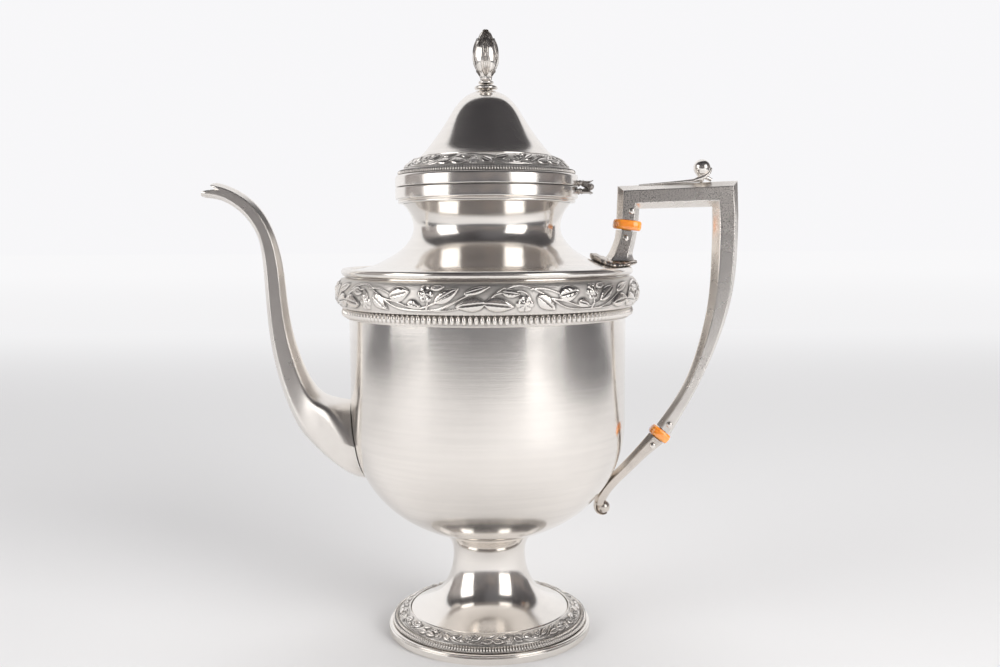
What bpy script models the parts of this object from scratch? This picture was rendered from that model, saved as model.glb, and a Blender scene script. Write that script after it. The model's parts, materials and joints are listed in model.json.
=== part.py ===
"""Silver coffee pot: footed bowl, waisted neck, hinged lid, faceted spout and insulated handle.

Units are metres, +Z up. The origin is on the table, midway between the spout's tip and the back of
the handle. Round pieces turn about the body axis, at x = BODY_X. The spout points to -X and the
handle to +X, both in the plane y = 0. Outlines are given in millimetres from the body axis.
"""

import math

import bmesh
import bpy
from mathutils import Vector

MM = 0.001

# Driving dimensions, in millimetres
GAP = 0.3                   # clearance between neighbouring pieces
WALL = 1.0                  # sheet thickness
SPOUT_REACH = 125.7         # body axis to the spout's lip
HANDLE_REACH = 111.0        # body axis to the back of the handle
BOWL_RADIUS = 61.0
BOWL_BOTTOM = 42.5          # underside of the bowl, on the axis
BOWL_SHOULDER = 96.0        # where the rounded bottom turns into the straight wall
BOWL_TOP = 151.9
BOWL_FULLNESS = 2.12        # exponent of the bowl's rounded bottom; 2 would be an ellipse
NECK_TOP = 191.4
FOOT_RADIUS = 45.7
STEM_TOP = 44.4             # where the foot is soldered to the bowl
STEM_TOP_RADIUS = 20.6
STEM_RADIUS = 16.2          # at the foot's narrowest place
FLARE_RADIUS = 35.3         # at the groove beside the foot's border
FLARE_BOTTOM = 9.8
HINGE_X = 45.3              # hinge pin, from the body axis
HINGE_Z = 198.4
HINGE_HALF_WIDTH = 6.5
KNUCKLE_HALF_WIDTH = 2.3
KNUCKLE_RADIUS = 1.5
HINGE_PIN_RADIUS = 0.8
RIVET_RADIUS = 0.8
OUTLINE_INSET = 0.35        # a tube's faces lie this far inside the edges its stations give
STRAP_FACET = 0.52          # flat share of the handle's and sockets' octagonal sections
UPPER_INSULATOR = (62.2, 181.6)
UPPER_TILT = math.radians(6.3)      # of the insulator's axis from upright, towards the handle
LOWER_INSULATOR = (77.1, 88.3)
LOWER_TILT = math.radians(38.0)
UPPER_RIVETS = ((63.4, 187.9), (60.9, 176.1))
LOWER_RIVETS = ((81.0, 92.9), (73.5, 83.5))
THUMB_BALL = (95.0, 206.6)
THUMB_BALL_RADIUS = 3.3
STRAINER_HOLE_RADIUS = 2.2
STRAINER_PITCH = 7.5
STRAINER_HEIGHT = 86.0      # of the middle row of holes

BODY_X = (SPOUT_REACH - HANDLE_REACH) / 2
SEGMENTS = 32               # round the large turned pieces
SMALL_SEGMENTS = 16

BRIGHT_SILVER = ((0.93, 0.92, 0.90), 0.12, 1.0)
SATIN_SILVER = ((0.88, 0.87, 0.85), 0.28, 1.0)
CHASED_SILVER = ((0.72, 0.71, 0.69), 0.35, 1.0)
AMBER_INSULATOR = ((0.86, 0.33, 0.04), 0.15, 0.0)


def clear_scene():
    for obj in list(bpy.data.objects):
        bpy.data.objects.remove(obj, do_unlink=True)


def make_material(name, look):
    colour, roughness, metallic = look
    material = bpy.data.materials.new(name)
    material.use_nodes = True
    shader = material.node_tree.nodes["Principled BSDF"]
    shader.inputs["Base Color"].default_value = (*colour, 1.0)
    shader.inputs["Roughness"].default_value = roughness
    shader.inputs["Metallic"].default_value = metallic
    return material


def add_empty(name, x, z):
    empty = bpy.data.objects.new(name, None)
    empty.location = (x * MM, 0, z * MM)
    bpy.context.scene.collection.objects.link(empty)
    return empty


def add_object(name, mesh_data, look, parent):
    """Link an object; its mesh is in body coordinates, wherever its parent stands."""
    mesh = bpy.data.meshes.new(name)
    mesh_data.normal_update()
    bmesh.ops.recalc_face_normals(mesh_data, faces=mesh_data.faces)
    mesh_data.to_mesh(mesh)
    mesh_data.free()
    mesh.shade_smooth()
    mesh.set_sharp_from_angle(angle=math.radians(35))
    obj = bpy.data.objects.new(name, mesh)
    mesh.materials.append(make_material(name, look))
    obj.parent = parent
    obj.location = Vector((BODY_X * MM, 0, 0)) - parent.location
    bpy.context.scene.collection.objects.link(obj)
    return obj


def hide_helper(obj):
    obj.hide_render = True
    obj.display_type = "WIRE"
    return obj


def combine(obj, other, operation):
    modifier = obj.modifiers.new(operation.lower(), "BOOLEAN")
    modifier.operation = operation
    modifier.solver = "EXACT"
    modifier.object = hide_helper(other)


def join_rings(bm, rings, closed):
    """Skin consecutive rings of vertices with quads; closed also joins the last to the first."""
    count = len(rings)
    for i in range(count if closed else count - 1):
        lower, upper = rings[i], rings[(i + 1) % count]
        if len(lower) == 1 or len(upper) == 1:
            pole, ring = (lower[0], upper) if len(lower) == 1 else (upper[0], lower)
            for k in range(len(ring)):
                bm.faces.new((ring[k], ring[(k + 1) % len(ring)], pole))
            continue
        for k in range(len(lower)):
            after = (k + 1) % len(lower)
            bm.faces.new((lower[k], lower[after], upper[after], upper[k]))


def lathe(name, outline, place, look, parent, segments):
    """Turn an outline of (radius, distance along the axis); place gives a turned point's (x, y, z).

    An outline whose ends lie on the axis closes there; any other is a loop.
    """
    bm = bmesh.new()
    rings = []
    for radius, along in outline:
        ring = []
        for k in range(segments if radius > 0 else 1):
            angle = 2 * math.pi * k / segments
            point = Vector(place(radius * math.cos(angle), radius * math.sin(angle), along))
            ring.append(bm.verts.new(point * MM))
        rings.append(ring)
    join_rings(bm, rings, closed=outline[0][0] > 0)
    return add_object(name, bm, look, parent)


def turned(name, outline, look, parent, segments=SEGMENTS, centre_x=0.0):
    """Turn an outline of (radius, height) about the vertical through (centre_x, 0)."""
    def place(side, depth, height):
        return (centre_x + side, depth, height)

    return lathe(name, outline, place, look, parent, segments)


def across(name, outline, centre, parent, segments):
    """Turn an outline of (radius, y) about the line along Y through centre (x, z)."""
    def place(side, rise, y):
        return (centre[0] + side, y, centre[1] + rise)

    return lathe(name, outline, place, BRIGHT_SILVER, parent, segments)


def extruded(name, outline, spans, look, parent):
    """Extrude an (x, z) outline along Y over each (low, high) span, as separate blocks."""
    bm = bmesh.new()
    for low, high in spans:
        sides = []
        for y in (low, high):
            sides.append([bm.verts.new((x * MM, y * MM, z * MM)) for x, z in outline])
        join_rings(bm, sides, closed=False)
        for side in sides:
            bm.faces.new(side)
    return add_object(name, bm, look, parent)


def smooth_curve(points, steps):
    """Sample a Catmull-Rom curve through points, steps to each stretch."""
    vectors = [Vector(p) for p in points]
    padded = [2 * vectors[0] - vectors[1], *vectors, 2 * vectors[-1] - vectors[-2]]
    samples = []
    for i in range(1, len(padded) - 2):
        p0, p1, p2, p3 = padded[i - 1:i + 3]
        for k in range(steps):
            t = k / steps
            samples.append(0.5 * (
                2 * p1 + (p2 - p0) * t
                + (2 * p0 - 5 * p1 + 4 * p2 - p3) * t * t
                + (3 * p1 - p0 - 3 * p2 + p3) * t ** 3
            ))
    samples.append(vectors[-1])
    return [tuple(s) for s in samples]


def arc(centre, radius, start, end, steps):
    """Points (x, z) of an arc, angles in degrees."""
    points = []
    for k in range(steps + 1):
        angle = math.radians(start + (end - start) * k / steps)
        points.append((centre[0] + radius * math.cos(angle), centre[1] + radius * math.sin(angle)))
    return points


def octagon_section(near, far, half_depth, facet, inset):
    """Eight points round a section that lies between two (x, z) edge points.

    half_depth is half the section's size along Y, and facet the share of it that is flat.
    inset draws the section in by that many millimetres on every side.
    """
    near, far = Vector(near), Vector(far)
    centre = (near + far) / 2
    half = (far - near) / 2
    half = half * (1 - inset / half.length)
    depth = half_depth - inset
    corners = ((1, facet), (facet, 1), (-facet, 1), (-1, facet),
               (-1, -facet), (-facet, -1), (facet, -1), (1, -facet))
    return [(centre.x + half.x * a, depth * b, centre.y + half.y * a) for a, b in corners]


def tube(name, stations, look, parent, wall=WALL):
    """Open tube through octagonal sections given as (near, far, half_depth, facet)."""
    bm = bmesh.new()

    def ring(station, inset):
        points = octagon_section(*station, inset)
        return [bm.verts.new(Vector(p) * MM) for p in points]

    outside = [ring(station, OUTLINE_INSET) for station in stations]
    inside = [ring(station, OUTLINE_INSET + wall) for station in stations]
    join_rings(bm, outside + inside[::-1], closed=True)
    return add_object(name, bm, look, parent)


def bowl_radius(height, growth=0.0):
    """Outer radius of the bowl at a height; growth offsets the surface outwards."""
    radius = BOWL_RADIUS + growth
    if height >= BOWL_SHOULDER:
        return radius
    drop = (BOWL_SHOULDER - height) / (BOWL_SHOULDER - BOWL_BOTTOM + growth)
    return radius * max(0.0, 1 - drop ** BOWL_FULLNESS) ** (1 / BOWL_FULLNESS)


def bowl_outline(steps, growth=0.0):
    """(radius, height) down the rounded bottom from the straight wall to the axis."""
    depth = BOWL_SHOULDER - BOWL_BOTTOM + growth
    points = []
    for k in range(steps):
        angle = math.pi / 2 * k / steps
        height = BOWL_SHOULDER - depth * math.sin(angle) ** (2 / BOWL_FULLNESS)
        points.append((bowl_radius(height, growth), height))
    points.append((0.0, BOWL_SHOULDER - depth))
    return points


def bowl_cutter(name, parent):
    """Solid bowl one gap larger than the real one, for trimming whatever stands on it."""
    outline = [(0.0, BOWL_TOP), (BOWL_RADIUS + GAP, BOWL_TOP), *bowl_outline(9, GAP)]
    return turned(name, outline, SATIN_SILVER, parent)


def rods(name, ends_of_each, look, parent):
    """Solid rods, each given as its two end rings of (x, y, z) points."""
    bm = bmesh.new()
    for ends in ends_of_each:
        rings = [[bm.verts.new(Vector(point) * MM) for point in ring] for ring in ends]
        join_rings(bm, rings, closed=False)
        for ring in rings:
            bm.faces.new(ring)
    return add_object(name, bm, look, parent)


def strainer_cutter(parent):
    """Rods along X for the pierced holes behind the spout's root, in staggered rows."""
    start, end = -BOWL_RADIUS - 2, -BOWL_RADIUS + 16
    row_pitch = STRAINER_PITCH * math.sin(math.pi / 3)
    holes = []
    for row in (-1, 0, 1):
        for column in range(-1, 2 - abs(row)):
            centre = ((column + abs(row) / 2) * STRAINER_PITCH, STRAINER_HEIGHT + row * row_pitch)
            outline = arc(centre, STRAINER_HOLE_RADIUS, 0, 315, 7)
            holes.append([[(x, y, z) for y, z in outline] for x in (start, end)])
    return rods("strainer_cutter", holes, SATIN_SILVER, parent)


def build_bowl(body):
    outside = [(BOWL_RADIUS, BOWL_TOP), *bowl_outline(9)]
    inside = [(0.0, BOWL_BOTTOM + WALL), *reversed(bowl_outline(8, -WALL)[:-1])]
    inside.append((BOWL_RADIUS - WALL, BOWL_TOP))
    rim_to_pole = inside + outside
    bowl = turned("body_bowl", rim_to_pole, SATIN_SILVER, body)
    combine(bowl, strainer_cutter(body), "DIFFERENCE")


def neck_outline():
    """Outer (radius, height) of shoulder and neck, from behind the band up to the mouth."""
    shoulder_edge = [(61.2, 152.3), (61.2, 162.0), (60.2, 162.9)]
    waist = smooth_curve(
        [(55.5, 163.2), (44.6, 167.0), (38.6, 170.9), (34.3, 175.6), (32.5, 180.0), (33.0, 184.8),
         (36.9, NECK_TOP)], 2)
    return shoulder_edge + waist


def offset_outline(points, distance):
    """Move each (radius, height) point to the left of the line's direction of travel."""
    moved = []
    for i, point in enumerate(points):
        before = Vector(points[max(i - 1, 0)])
        after = Vector(points[min(i + 1, len(points) - 1)])
        along = (after - before).normalized()
        moved.append((point[0] - along.y * distance, point[1] + along.x * distance))
    return moved


def build_neck(body):
    outside = neck_outline()
    inside = offset_outline(outside, WALL)
    inside[0] = (inside[0][0], outside[0][1])
    inside[-1] = (inside[-1][0], outside[-1][1])
    turned("shoulder_neck", outside + inside[::-1], SATIN_SILVER, body)
    turned("neck_rim", [
        (40.1, 198.2), (40.1, 193.3), (39.1, 193.0), (38.7, 191.7),
        (36.4, 191.7), (38.1, 194.2), (38.1, 198.2),
    ], BRIGHT_SILVER, body)


def build_band(body):
    turned("shoulder_rim", [
        (61.6, 163.5), (62.6, 163.8), (63.7, 163.2), (64.2, 162.0), (63.7, 160.8), (62.6, 160.3),
        (61.6, 160.3),
    ], BRIGHT_SILVER, body)
    turned("floral_band", [
        (61.6, 159.9), (63.6, 159.9), (65.7, 156.8), (66.5, 152.8), (65.7, 149.4), (64.1, 147.2),
        (61.6, 147.2),
    ], CHASED_SILVER, body)
    turned("band_beading", [
        (61.6, 146.9), (63.4, 146.9), (64.1, 145.2), (63.3, 143.5), (62.3, 142.4), (61.6, 142.4),
    ], BRIGHT_SILVER, body)


def foot_flare():
    """Outer (radius, height) of the trumpet foot, from the bowl down to the border's groove."""
    return smooth_curve([
        (STEM_TOP_RADIUS, STEM_TOP), (17.0, 39.5), (STEM_RADIUS, 33.5), (16.7, 29.2), (20.0, 20.4),
        (23.9, 15.9), (29.3, 12.5), (FLARE_RADIUS, FLARE_BOTTOM),
    ], 2)


def build_foot(body):
    skirt = [(40.8, 6.1), (43.0, 4.4), (43.0, 0.6)]
    outside = foot_flare() + skirt
    inside = offset_outline(outside, -WALL)
    inside[0] = (inside[0][0], STEM_TOP)
    inside[-1] = (inside[-1][0], outside[-1][1])
    turned("pedestal_foot", outside + inside[::-1], BRIGHT_SILVER, body)
    turned("foot_border", [
        (36.0, 9.7), (37.6, 9.4), (39.8, 8.2), (41.4, 6.6), (41.4, 6.0), (36.0, 9.2 + GAP),
    ], CHASED_SILVER, body)
    turned("foot_beading", [
        (41.8, 6.5), (42.9, 6.2), (43.9, 5.3), (43.5, 4.9), (42.9, 4.9), (41.8, 5.8),
    ], BRIGHT_SILVER, body)
    turned("foot_rim", [
        (43.4, 4.5), (44.2, 4.7), (45.0, 3.9), (44.9, 3.0), (FOOT_RADIUS, 2.7), (FOOT_RADIUS, 0.0),
        (43.4, 0.0),
    ], BRIGHT_SILVER, body)


def spout_stations():
    """(upper edge, lower edge, half depth, facet) from inside the bowl's wall to the lip."""
    rounded, faceted = 0.41, 0.6
    root = [
        ((-50.0, 108.0), (-40.0, 61.4), 22.0),
        ((-61.8, 107.3), (-52.0, 65.2), 21.0),
        ((-69.0, 106.2), (-60.8, 70.9), 16.8),
        ((-72.8, 106.9), (-69.6, 77.4), 13.0),
        ((-75.5, 109.3), (-77.4, 84.4), 10.0),
        ((-77.8, 112.6), (-83.6, 91.8), 8.2),
    ]
    neck = [
        ((-83.1, 123.4), (-92.7, 115.5), 5.8),
        ((-87.1, 136.3), (-96.4, 134.3), 4.6),
        ((-89.2, 150.6), (-97.7, 150.6), 4.0),
        ((-90.4, 163.2), (-98.6, 164.4), 3.8),
        ((-93.6, 177.6), (-100.4, 178.4), 3.6),
        ((-97.1, 185.8), (-103.0, 182.4), 3.6),
        ((-102.4, 192.8), (-107.4, 187.9), 3.6),
        ((-109.3, 197.9), (-112.9, 191.8), 3.6),
        ((-116.3, 200.9), (-118.6, 194.3), 3.6),
        ((-121.8, 201.2), (-SPOUT_REACH, 195.6), 3.4),
    ]
    return [(*station, rounded) for station in root] + [(*station, faceted) for station in neck]


def build_spout(body):
    spout = tube("spout", spout_stations(), BRIGHT_SILVER, body)
    combine(spout, bowl_cutter("spout_trim", body), "DIFFERENCE")


def along_tilt(centre, tilt, distance, side=0.0):
    """Point at a distance along an axis tilted from upright towards +X, and to its right."""
    x = centre[0] + distance * math.sin(tilt) + side * math.cos(tilt)
    z = centre[1] + distance * math.cos(tilt) - side * math.sin(tilt)
    return (x, z)


def handle_stations():
    """(outer edge, inner edge, half depth, facet) from the upper insulator to the lower one."""
    outer = smooth_curve(
        [(HANDLE_REACH, 186.0), (110.9, 172.0), (108.6, 149.5), (102.9, 130.0), (95.1, 111.6),
         along_tilt(LOWER_INSULATOR, LOWER_TILT, 2.5, 4.0)], 2)
    inner = smooth_curve(
        [(99.4, 180.0), (99.2, 168.0), (98.1, 149.0), (93.7, 128.0), (87.2, 110.3),
         along_tilt(LOWER_INSULATOR, LOWER_TILT, 2.5, -3.6)], 2)
    top = [
        ((57.1, 184.6), (67.0, 183.5), 4.0, STRAP_FACET),
        ((57.6, 198.9), (67.4, 188.9), 4.0, STRAP_FACET),
        ((110.5, 201.0), (99.3, 189.6), 4.0, STRAP_FACET),
    ]
    leg = []
    for i, (far, near) in enumerate(zip(outer, inner)):
        leg.append((far, near, 4.0 - 0.9 * i / (len(outer) - 1), STRAP_FACET))
    return top + leg


def rivet_holes(name, body):
    """Rods along Y for the four rivets, one gap wider than their shanks."""
    holes = []
    for centre in UPPER_RIVETS + LOWER_RIVETS:
        outline = arc(centre, RIVET_RADIUS + GAP, 0, 315, 7)
        holes.append([[(x, y, z) for x, z in outline] for y in (-8.0, 8.0)])
    return rods(name, holes, BRIGHT_SILVER, body)


def build_rivets(body):
    """Four rivets whose domed heads stand just clear of the facets they hold."""
    upper_face, lower_face = 4.0, 3.4
    for number, centre in enumerate(UPPER_RIVETS + LOWER_RIVETS, start=1):
        face = upper_face if centre in UPPER_RIVETS else lower_face
        half = [(RIVET_RADIUS, face), (1.4, face), (0.9, face + 0.6), (0.0, face + 0.8)]
        outline = [(radius, -y) for radius, y in reversed(half)] + half
        across(f"handle_pin_{number}", outline, centre, body, segments=10)


def build_handle(body):
    grip = tube("handle_grip", handle_stations(), CHASED_SILVER, body)
    combine(grip, rivet_holes("grip_rivet_holes", body), "DIFFERENCE")


def build_insulator(name, centre, tilt, half_width, half_depth, body):
    """Rounded flange with a tongue on each side that runs into the handle and the socket."""
    flange, reach = 2.2, 7.7
    tongue_width, tongue_depth = half_width * 0.34, half_depth * 0.3
    levels = [
        (-reach, tongue_width, tongue_depth), (-flange, tongue_width, tongue_depth),
        (-flange, half_width - 0.7, half_depth - 0.7), (-flange + 0.7, half_width, half_depth),
        (flange - 0.7, half_width, half_depth), (flange, half_width - 0.7, half_depth - 0.7),
        (flange, tongue_width, tongue_depth), (reach, tongue_width, tongue_depth),
    ]
    bm = bmesh.new()
    rings = []
    for along, width, depth in levels:
        ring = []
        for k in range(SMALL_SEGMENTS):
            angle = 2 * math.pi * k / SMALL_SEGMENTS
            x, z = along_tilt(centre, tilt, along, width * math.cos(angle))
            ring.append(bm.verts.new((x * MM, depth * math.sin(angle) * MM, z * MM)))
        rings.append(ring)
    join_rings(bm, rings, closed=False)
    bm.faces.new(rings[0])
    bm.faces.new(rings[-1])
    insulator = add_object(name, bm, AMBER_INSULATOR, body)
    combine(insulator, rivet_holes(name + "_rivet_holes", body), "DIFFERENCE")


def build_upper_socket(body):
    stations = [
        ((52.2, 166.3), (65.0, 166.3), 4.8, STRAP_FACET),
        ((54.4, 171.0), (64.4, 170.4), 4.3, STRAP_FACET),
        ((56.3, 175.8), (65.8, 174.8), 4.0, STRAP_FACET),
        (along_tilt(UPPER_INSULATOR, UPPER_TILT, -2.5, -4.9),
         along_tilt(UPPER_INSULATOR, UPPER_TILT, -2.5, 4.9), 4.0, STRAP_FACET),
    ]
    socket = tube("upper_handle_socket", stations, BRIGHT_SILVER, body)
    combine(socket, rivet_holes("upper_socket_rivet_holes", body), "DIFFERENCE")
    build_socket_pad(body)


def build_socket_pad(body):
    """Leaf-shaped pad on the shoulder; its tip next to the neck curls up."""
    sections = [
        (46.6, 1.0, 167.2), (50.0, 5.0, 165.2), (54.5, 8.0, 164.2), (60.0, 7.0, 164.2),
        (64.0, 3.6, 164.4), (66.3, 0.8, 164.9),
    ]
    thickness = 1.2
    bm = bmesh.new()
    rings = []
    for x, half_width, bottom in sections:
        corners = ((-half_width, bottom), (half_width, bottom),
                   (half_width, bottom + thickness), (-half_width, bottom + thickness))
        rings.append([bm.verts.new((x * MM, y * MM, z * MM)) for y, z in corners])
    join_rings(bm, rings, closed=False)
    bm.faces.new(rings[0])
    bm.faces.new(rings[-1])
    add_object("upper_socket_pad", bm, BRIGHT_SILVER, body)


def build_lower_socket(body):
    stations = [
        (along_tilt(LOWER_INSULATOR, LOWER_TILT, -2.5, 4.0),
         along_tilt(LOWER_INSULATOR, LOWER_TILT, -2.5, -4.0), 3.3, STRAP_FACET),
        ((72.2, 77.9), (67.4, 80.3), 3.4, STRAP_FACET),
        ((65.8, 71.7), (60.8, 72.8), 3.7, STRAP_FACET),
        ((58.9, 65.8), (54.3, 66.9), 4.3, STRAP_FACET),
        ((54.4, 61.1), (49.9, 63.3), 4.9, STRAP_FACET),
        ((50.5, 56.8), (44.5, 59.5), 5.2, STRAP_FACET),
    ]
    socket = tube("lower_handle_socket", stations, BRIGHT_SILVER, body)
    scroll = turned("scroll_and_ball", [
        (0.0, 57.4), (2.0, 56.9), (3.1, 55.4), (3.3, 54.0), (2.7, 52.0), (1.4, 50.9), (0.0, 50.6),
    ], BRIGHT_SILVER, body, segments=12, centre_x=52.0)
    combine(socket, scroll, "UNION")
    combine(socket, bowl_cutter("socket_trim", body), "DIFFERENCE")
    combine(socket, rivet_holes("lower_socket_rivet_holes", body), "DIFFERENCE")


def handle_top(x):
    """Height of the handle's sloping top edge."""
    return 198.9 + (x - 57.6) * (201.0 - 198.9) / (110.5 - 57.6)


def build_thumb_piece(body):
    """Tapered strip along the handle that ends in a curl, with a ball above it."""
    start, end = 67.8, 98.3
    strip = [(start, handle_top(start) + GAP), (end, handle_top(end) + GAP)]
    curl = [(98.4, 202.2), (97.0, THUMB_BALL[1] - THUMB_BALL_RADIUS - GAP),
            (93.6, THUMB_BALL[1] - THUMB_BALL_RADIUS - GAP), (91.6, 202.2)]
    taper = [(86.0, handle_top(86.0) + 1.1), (start, handle_top(start) + 0.8)]
    extruded("thumb_scroll", strip + curl + taper, [(-2.1, 2.1)], BRIGHT_SILVER, body)
    ball = [(0.0, THUMB_BALL[1] + THUMB_BALL_RADIUS)]
    for k in range(1, 6):
        angle = math.pi * k / 6
        ball.append((THUMB_BALL_RADIUS * math.sin(angle),
                     THUMB_BALL[1] + THUMB_BALL_RADIUS * math.cos(angle)))
    ball.append((0.0, THUMB_BALL[1] - THUMB_BALL_RADIUS))
    turned("thumb_ball", ball, BRIGHT_SILVER, body, segments=14, centre_x=THUMB_BALL[0])


def build_lid(hinge):
    seat = [(37.0, 203.5), (36.2, 204.6), (29.0, 210.5)]
    dome = smooth_curve([(29.0, 212.0), (21.0, 220.7), (14.8, 230.6), (8.6, 238.3), (1.5, 240.0)], 2)
    outside = seat + dome
    inside = offset_outline(outside, WALL)
    inside[0] = (inside[0][0], outside[0][1])
    inside[-1] = (outside[-1][0], inside[-1][1])
    turned("lid_dome", outside + inside[::-1], SATIN_SILVER, hinge)
    turned("lid_border", [
        (29.6, 211.5), (31.4, 210.9), (34.0, 208.8), (36.3, 206.6), (37.3, 205.4), (36.6, 204.9),
        (29.6, 210.8),
    ], CHASED_SILVER, hinge)
    turned("lid_beading", [
        (37.4, 205.0), (38.3, 205.2), (39.2, 204.4), (38.9, 203.5), (37.4, 203.5),
    ], BRIGHT_SILVER, hinge)
    turned("lid_rim", [
        (38.0, 203.1), (39.5, 203.1), (40.1, 202.5), (40.1, 198.6), (38.0, 198.6),
    ], BRIGHT_SILVER, hinge)
    turned("lid_flange", [(37.6, 202.9), (37.6, 194.4), (36.8, 194.4), (36.8, 202.9)],
           SATIN_SILVER, hinge)


def build_finial(hinge):
    turned("finial_collar", [
        (1.5, 240.4), (2.9, 240.4), (4.5, 240.7), (5.0, 241.5), (4.4, 242.3), (2.6, 242.8),
        (1.5, 242.8),
    ], BRIGHT_SILVER, hinge, segments=20)
    turned("finial", [
        (0.0, 267.0), (1.2, 266.1), (2.9, 264.0), (4.7, 260.9), (5.9, 256.8), (5.9, 253.2),
        (4.8, 250.0), (3.1, 247.6), (2.35, 245.6), (2.9, 243.9), (2.6, 243.1), (1.1, 243.1),
        (1.1, 235.4), (0.0, 235.4),
    ], BRIGHT_SILVER, hinge, segments=20)
    turned("finial_nut", [(1.5, 238.5), (3.2, 238.5), (3.2, 236.4), (1.5, 236.4)],
           BRIGHT_SILVER, hinge, segments=6)


def knuckle_outline(up, plate_start, plate_thickness):
    """(x, z) outline of a leaf with its knuckle round the pin; up is +1 or -1."""
    def place(x, z):
        return (HINGE_X + x, HINGE_Z + up * z)

    plate_bottom = KNUCKLE_RADIUS + GAP
    web = plate_bottom - 0.1
    barrel = arc((0.0, 0.0), KNUCKLE_RADIUS, 165, 375, 7)
    outline = [place(x, z) for x, z in barrel]
    plate_top = plate_bottom + plate_thickness
    outline += [place(1.0, web), place(1.1, plate_bottom), place(2.0, plate_bottom + 1.4)]
    outline += [place(1.0, plate_top), place(plate_start, plate_top)]
    outline += [place(plate_start, GAP), place(-KNUCKLE_RADIUS, GAP)]
    return outline


def plate_outline(up, plate_start, plate_thickness):
    """(x, z) outline of the part of a leaf that passes over the other leaf's knuckle."""
    low = HINGE_Z + up * (KNUCKLE_RADIUS + GAP)
    high = HINGE_Z + up * (KNUCKLE_RADIUS + GAP + plate_thickness)
    tip = HINGE_Z + up * (KNUCKLE_RADIUS + GAP + 1.4)
    return [(HINGE_X + plate_start, low), (HINGE_X + 1.1, low), (HINGE_X + 2.0, tip),
            (HINGE_X + 1.0, high), (HINGE_X + plate_start, high)]


def hinge_bore(name, parent):
    reach = HINGE_HALF_WIDTH + 4
    radius = HINGE_PIN_RADIUS + GAP
    return across(name, [(0.0, -reach), (radius, -reach), (radius, reach), (0.0, reach)],
                  (HINGE_X, HINGE_Z), parent, segments=12)


def build_leaf(name, up, knuckles, parent):
    """A leaf: a plate over the full width and knuckles at the given Y spans."""
    plate_start, plate_thickness = -4.8, 1.1
    wide = [(-HINGE_HALF_WIDTH, HINGE_HALF_WIDTH)]
    leaf = extruded(name, plate_outline(up, plate_start, plate_thickness), wide,
                    BRIGHT_SILVER, parent)
    for number, span in enumerate(knuckles):
        knuckle = extruded(f"{name}_knuckle_{number}",
                           knuckle_outline(up, plate_start, plate_thickness), [span],
                           BRIGHT_SILVER, parent)
        combine(leaf, knuckle, "UNION")
    combine(leaf, hinge_bore(name + "_bore", parent), "DIFFERENCE")


def build_hinge(body, hinge):
    inner = KNUCKLE_HALF_WIDTH + GAP
    build_leaf("hinge_body_leaf", -1,
               [(-HINGE_HALF_WIDTH, -inner), (inner, HINGE_HALF_WIDTH)], body)
    build_leaf("hinge_lid_leaf", 1, [(-KNUCKLE_HALF_WIDTH, KNUCKLE_HALF_WIDTH)], hinge)
    face = HINGE_HALF_WIDTH + GAP
    across("hinge_pin", [
        (0.0, -face - 0.9), (0.8, -face - 0.7), (1.2, -face), (HINGE_PIN_RADIUS, -face),
        (HINGE_PIN_RADIUS, face), (1.2, face), (0.8, face + 0.7), (0.0, face + 0.9),
    ], (HINGE_X, HINGE_Z), body, segments=12)


def main():
    clear_scene()
    body = add_empty("body_axis", BODY_X, 0)
    hinge = add_empty("lid_hinge_axis", BODY_X + HINGE_X, HINGE_Z)
    build_bowl(body)
    build_neck(body)
    build_band(body)
    build_foot(body)
    build_spout(body)
    build_handle(body)
    build_upper_socket(body)
    build_lower_socket(body)
    build_insulator("upper_insulator", UPPER_INSULATOR, UPPER_TILT, 6.5, 5.2, body)
    build_insulator("lower_insulator", LOWER_INSULATOR, LOWER_TILT, 5.1, 4.4, body)
    build_rivets(body)
    build_thumb_piece(body)
    build_lid(hinge)
    build_finial(hinge)
    build_hinge(body, hinge)


main()
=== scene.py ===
"""Looks of the silver coffee pot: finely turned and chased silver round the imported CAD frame.

Lengths in this file are millimetres from the body's axis unless a name says otherwise; MM turns
them into Blender's metres. The spout points to -X, the handle to +X and the camera stands at -Y.
"""

import json
import math

import bpy
import numpy as np
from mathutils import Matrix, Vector


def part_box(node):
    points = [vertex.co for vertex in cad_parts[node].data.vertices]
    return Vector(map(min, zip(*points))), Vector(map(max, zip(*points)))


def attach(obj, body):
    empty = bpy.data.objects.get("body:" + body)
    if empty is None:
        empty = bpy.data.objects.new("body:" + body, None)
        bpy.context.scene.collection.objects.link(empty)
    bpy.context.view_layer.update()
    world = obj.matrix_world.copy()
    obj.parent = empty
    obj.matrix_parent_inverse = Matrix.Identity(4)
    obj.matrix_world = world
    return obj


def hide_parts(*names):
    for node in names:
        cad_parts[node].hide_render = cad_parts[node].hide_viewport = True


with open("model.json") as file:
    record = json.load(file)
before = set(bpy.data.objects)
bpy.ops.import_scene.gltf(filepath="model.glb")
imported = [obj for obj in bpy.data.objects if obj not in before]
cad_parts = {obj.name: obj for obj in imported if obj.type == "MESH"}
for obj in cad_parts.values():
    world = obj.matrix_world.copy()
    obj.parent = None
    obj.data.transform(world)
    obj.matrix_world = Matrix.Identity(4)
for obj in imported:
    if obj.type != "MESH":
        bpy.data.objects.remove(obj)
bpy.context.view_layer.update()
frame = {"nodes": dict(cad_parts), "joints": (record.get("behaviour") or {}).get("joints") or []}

MM = 0.001
BOWL_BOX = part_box("body_bowl")
AXIS_X = (BOWL_BOX[0].x + BOWL_BOX[1].x) / 2        # metres
HINGE = Vector(frame["joints"][0]["pos_m"])         # metres
RANDOM = np.random.default_rng(19)

GAP = 0.3                   # between neighbouring pieces
WALL = 1.0
ROUND = 288                 # columns round a large turned piece


def top_of(node):
    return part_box(node)[1].z / MM


def bottom_of(node):
    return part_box(node)[0].z / MM


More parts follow.
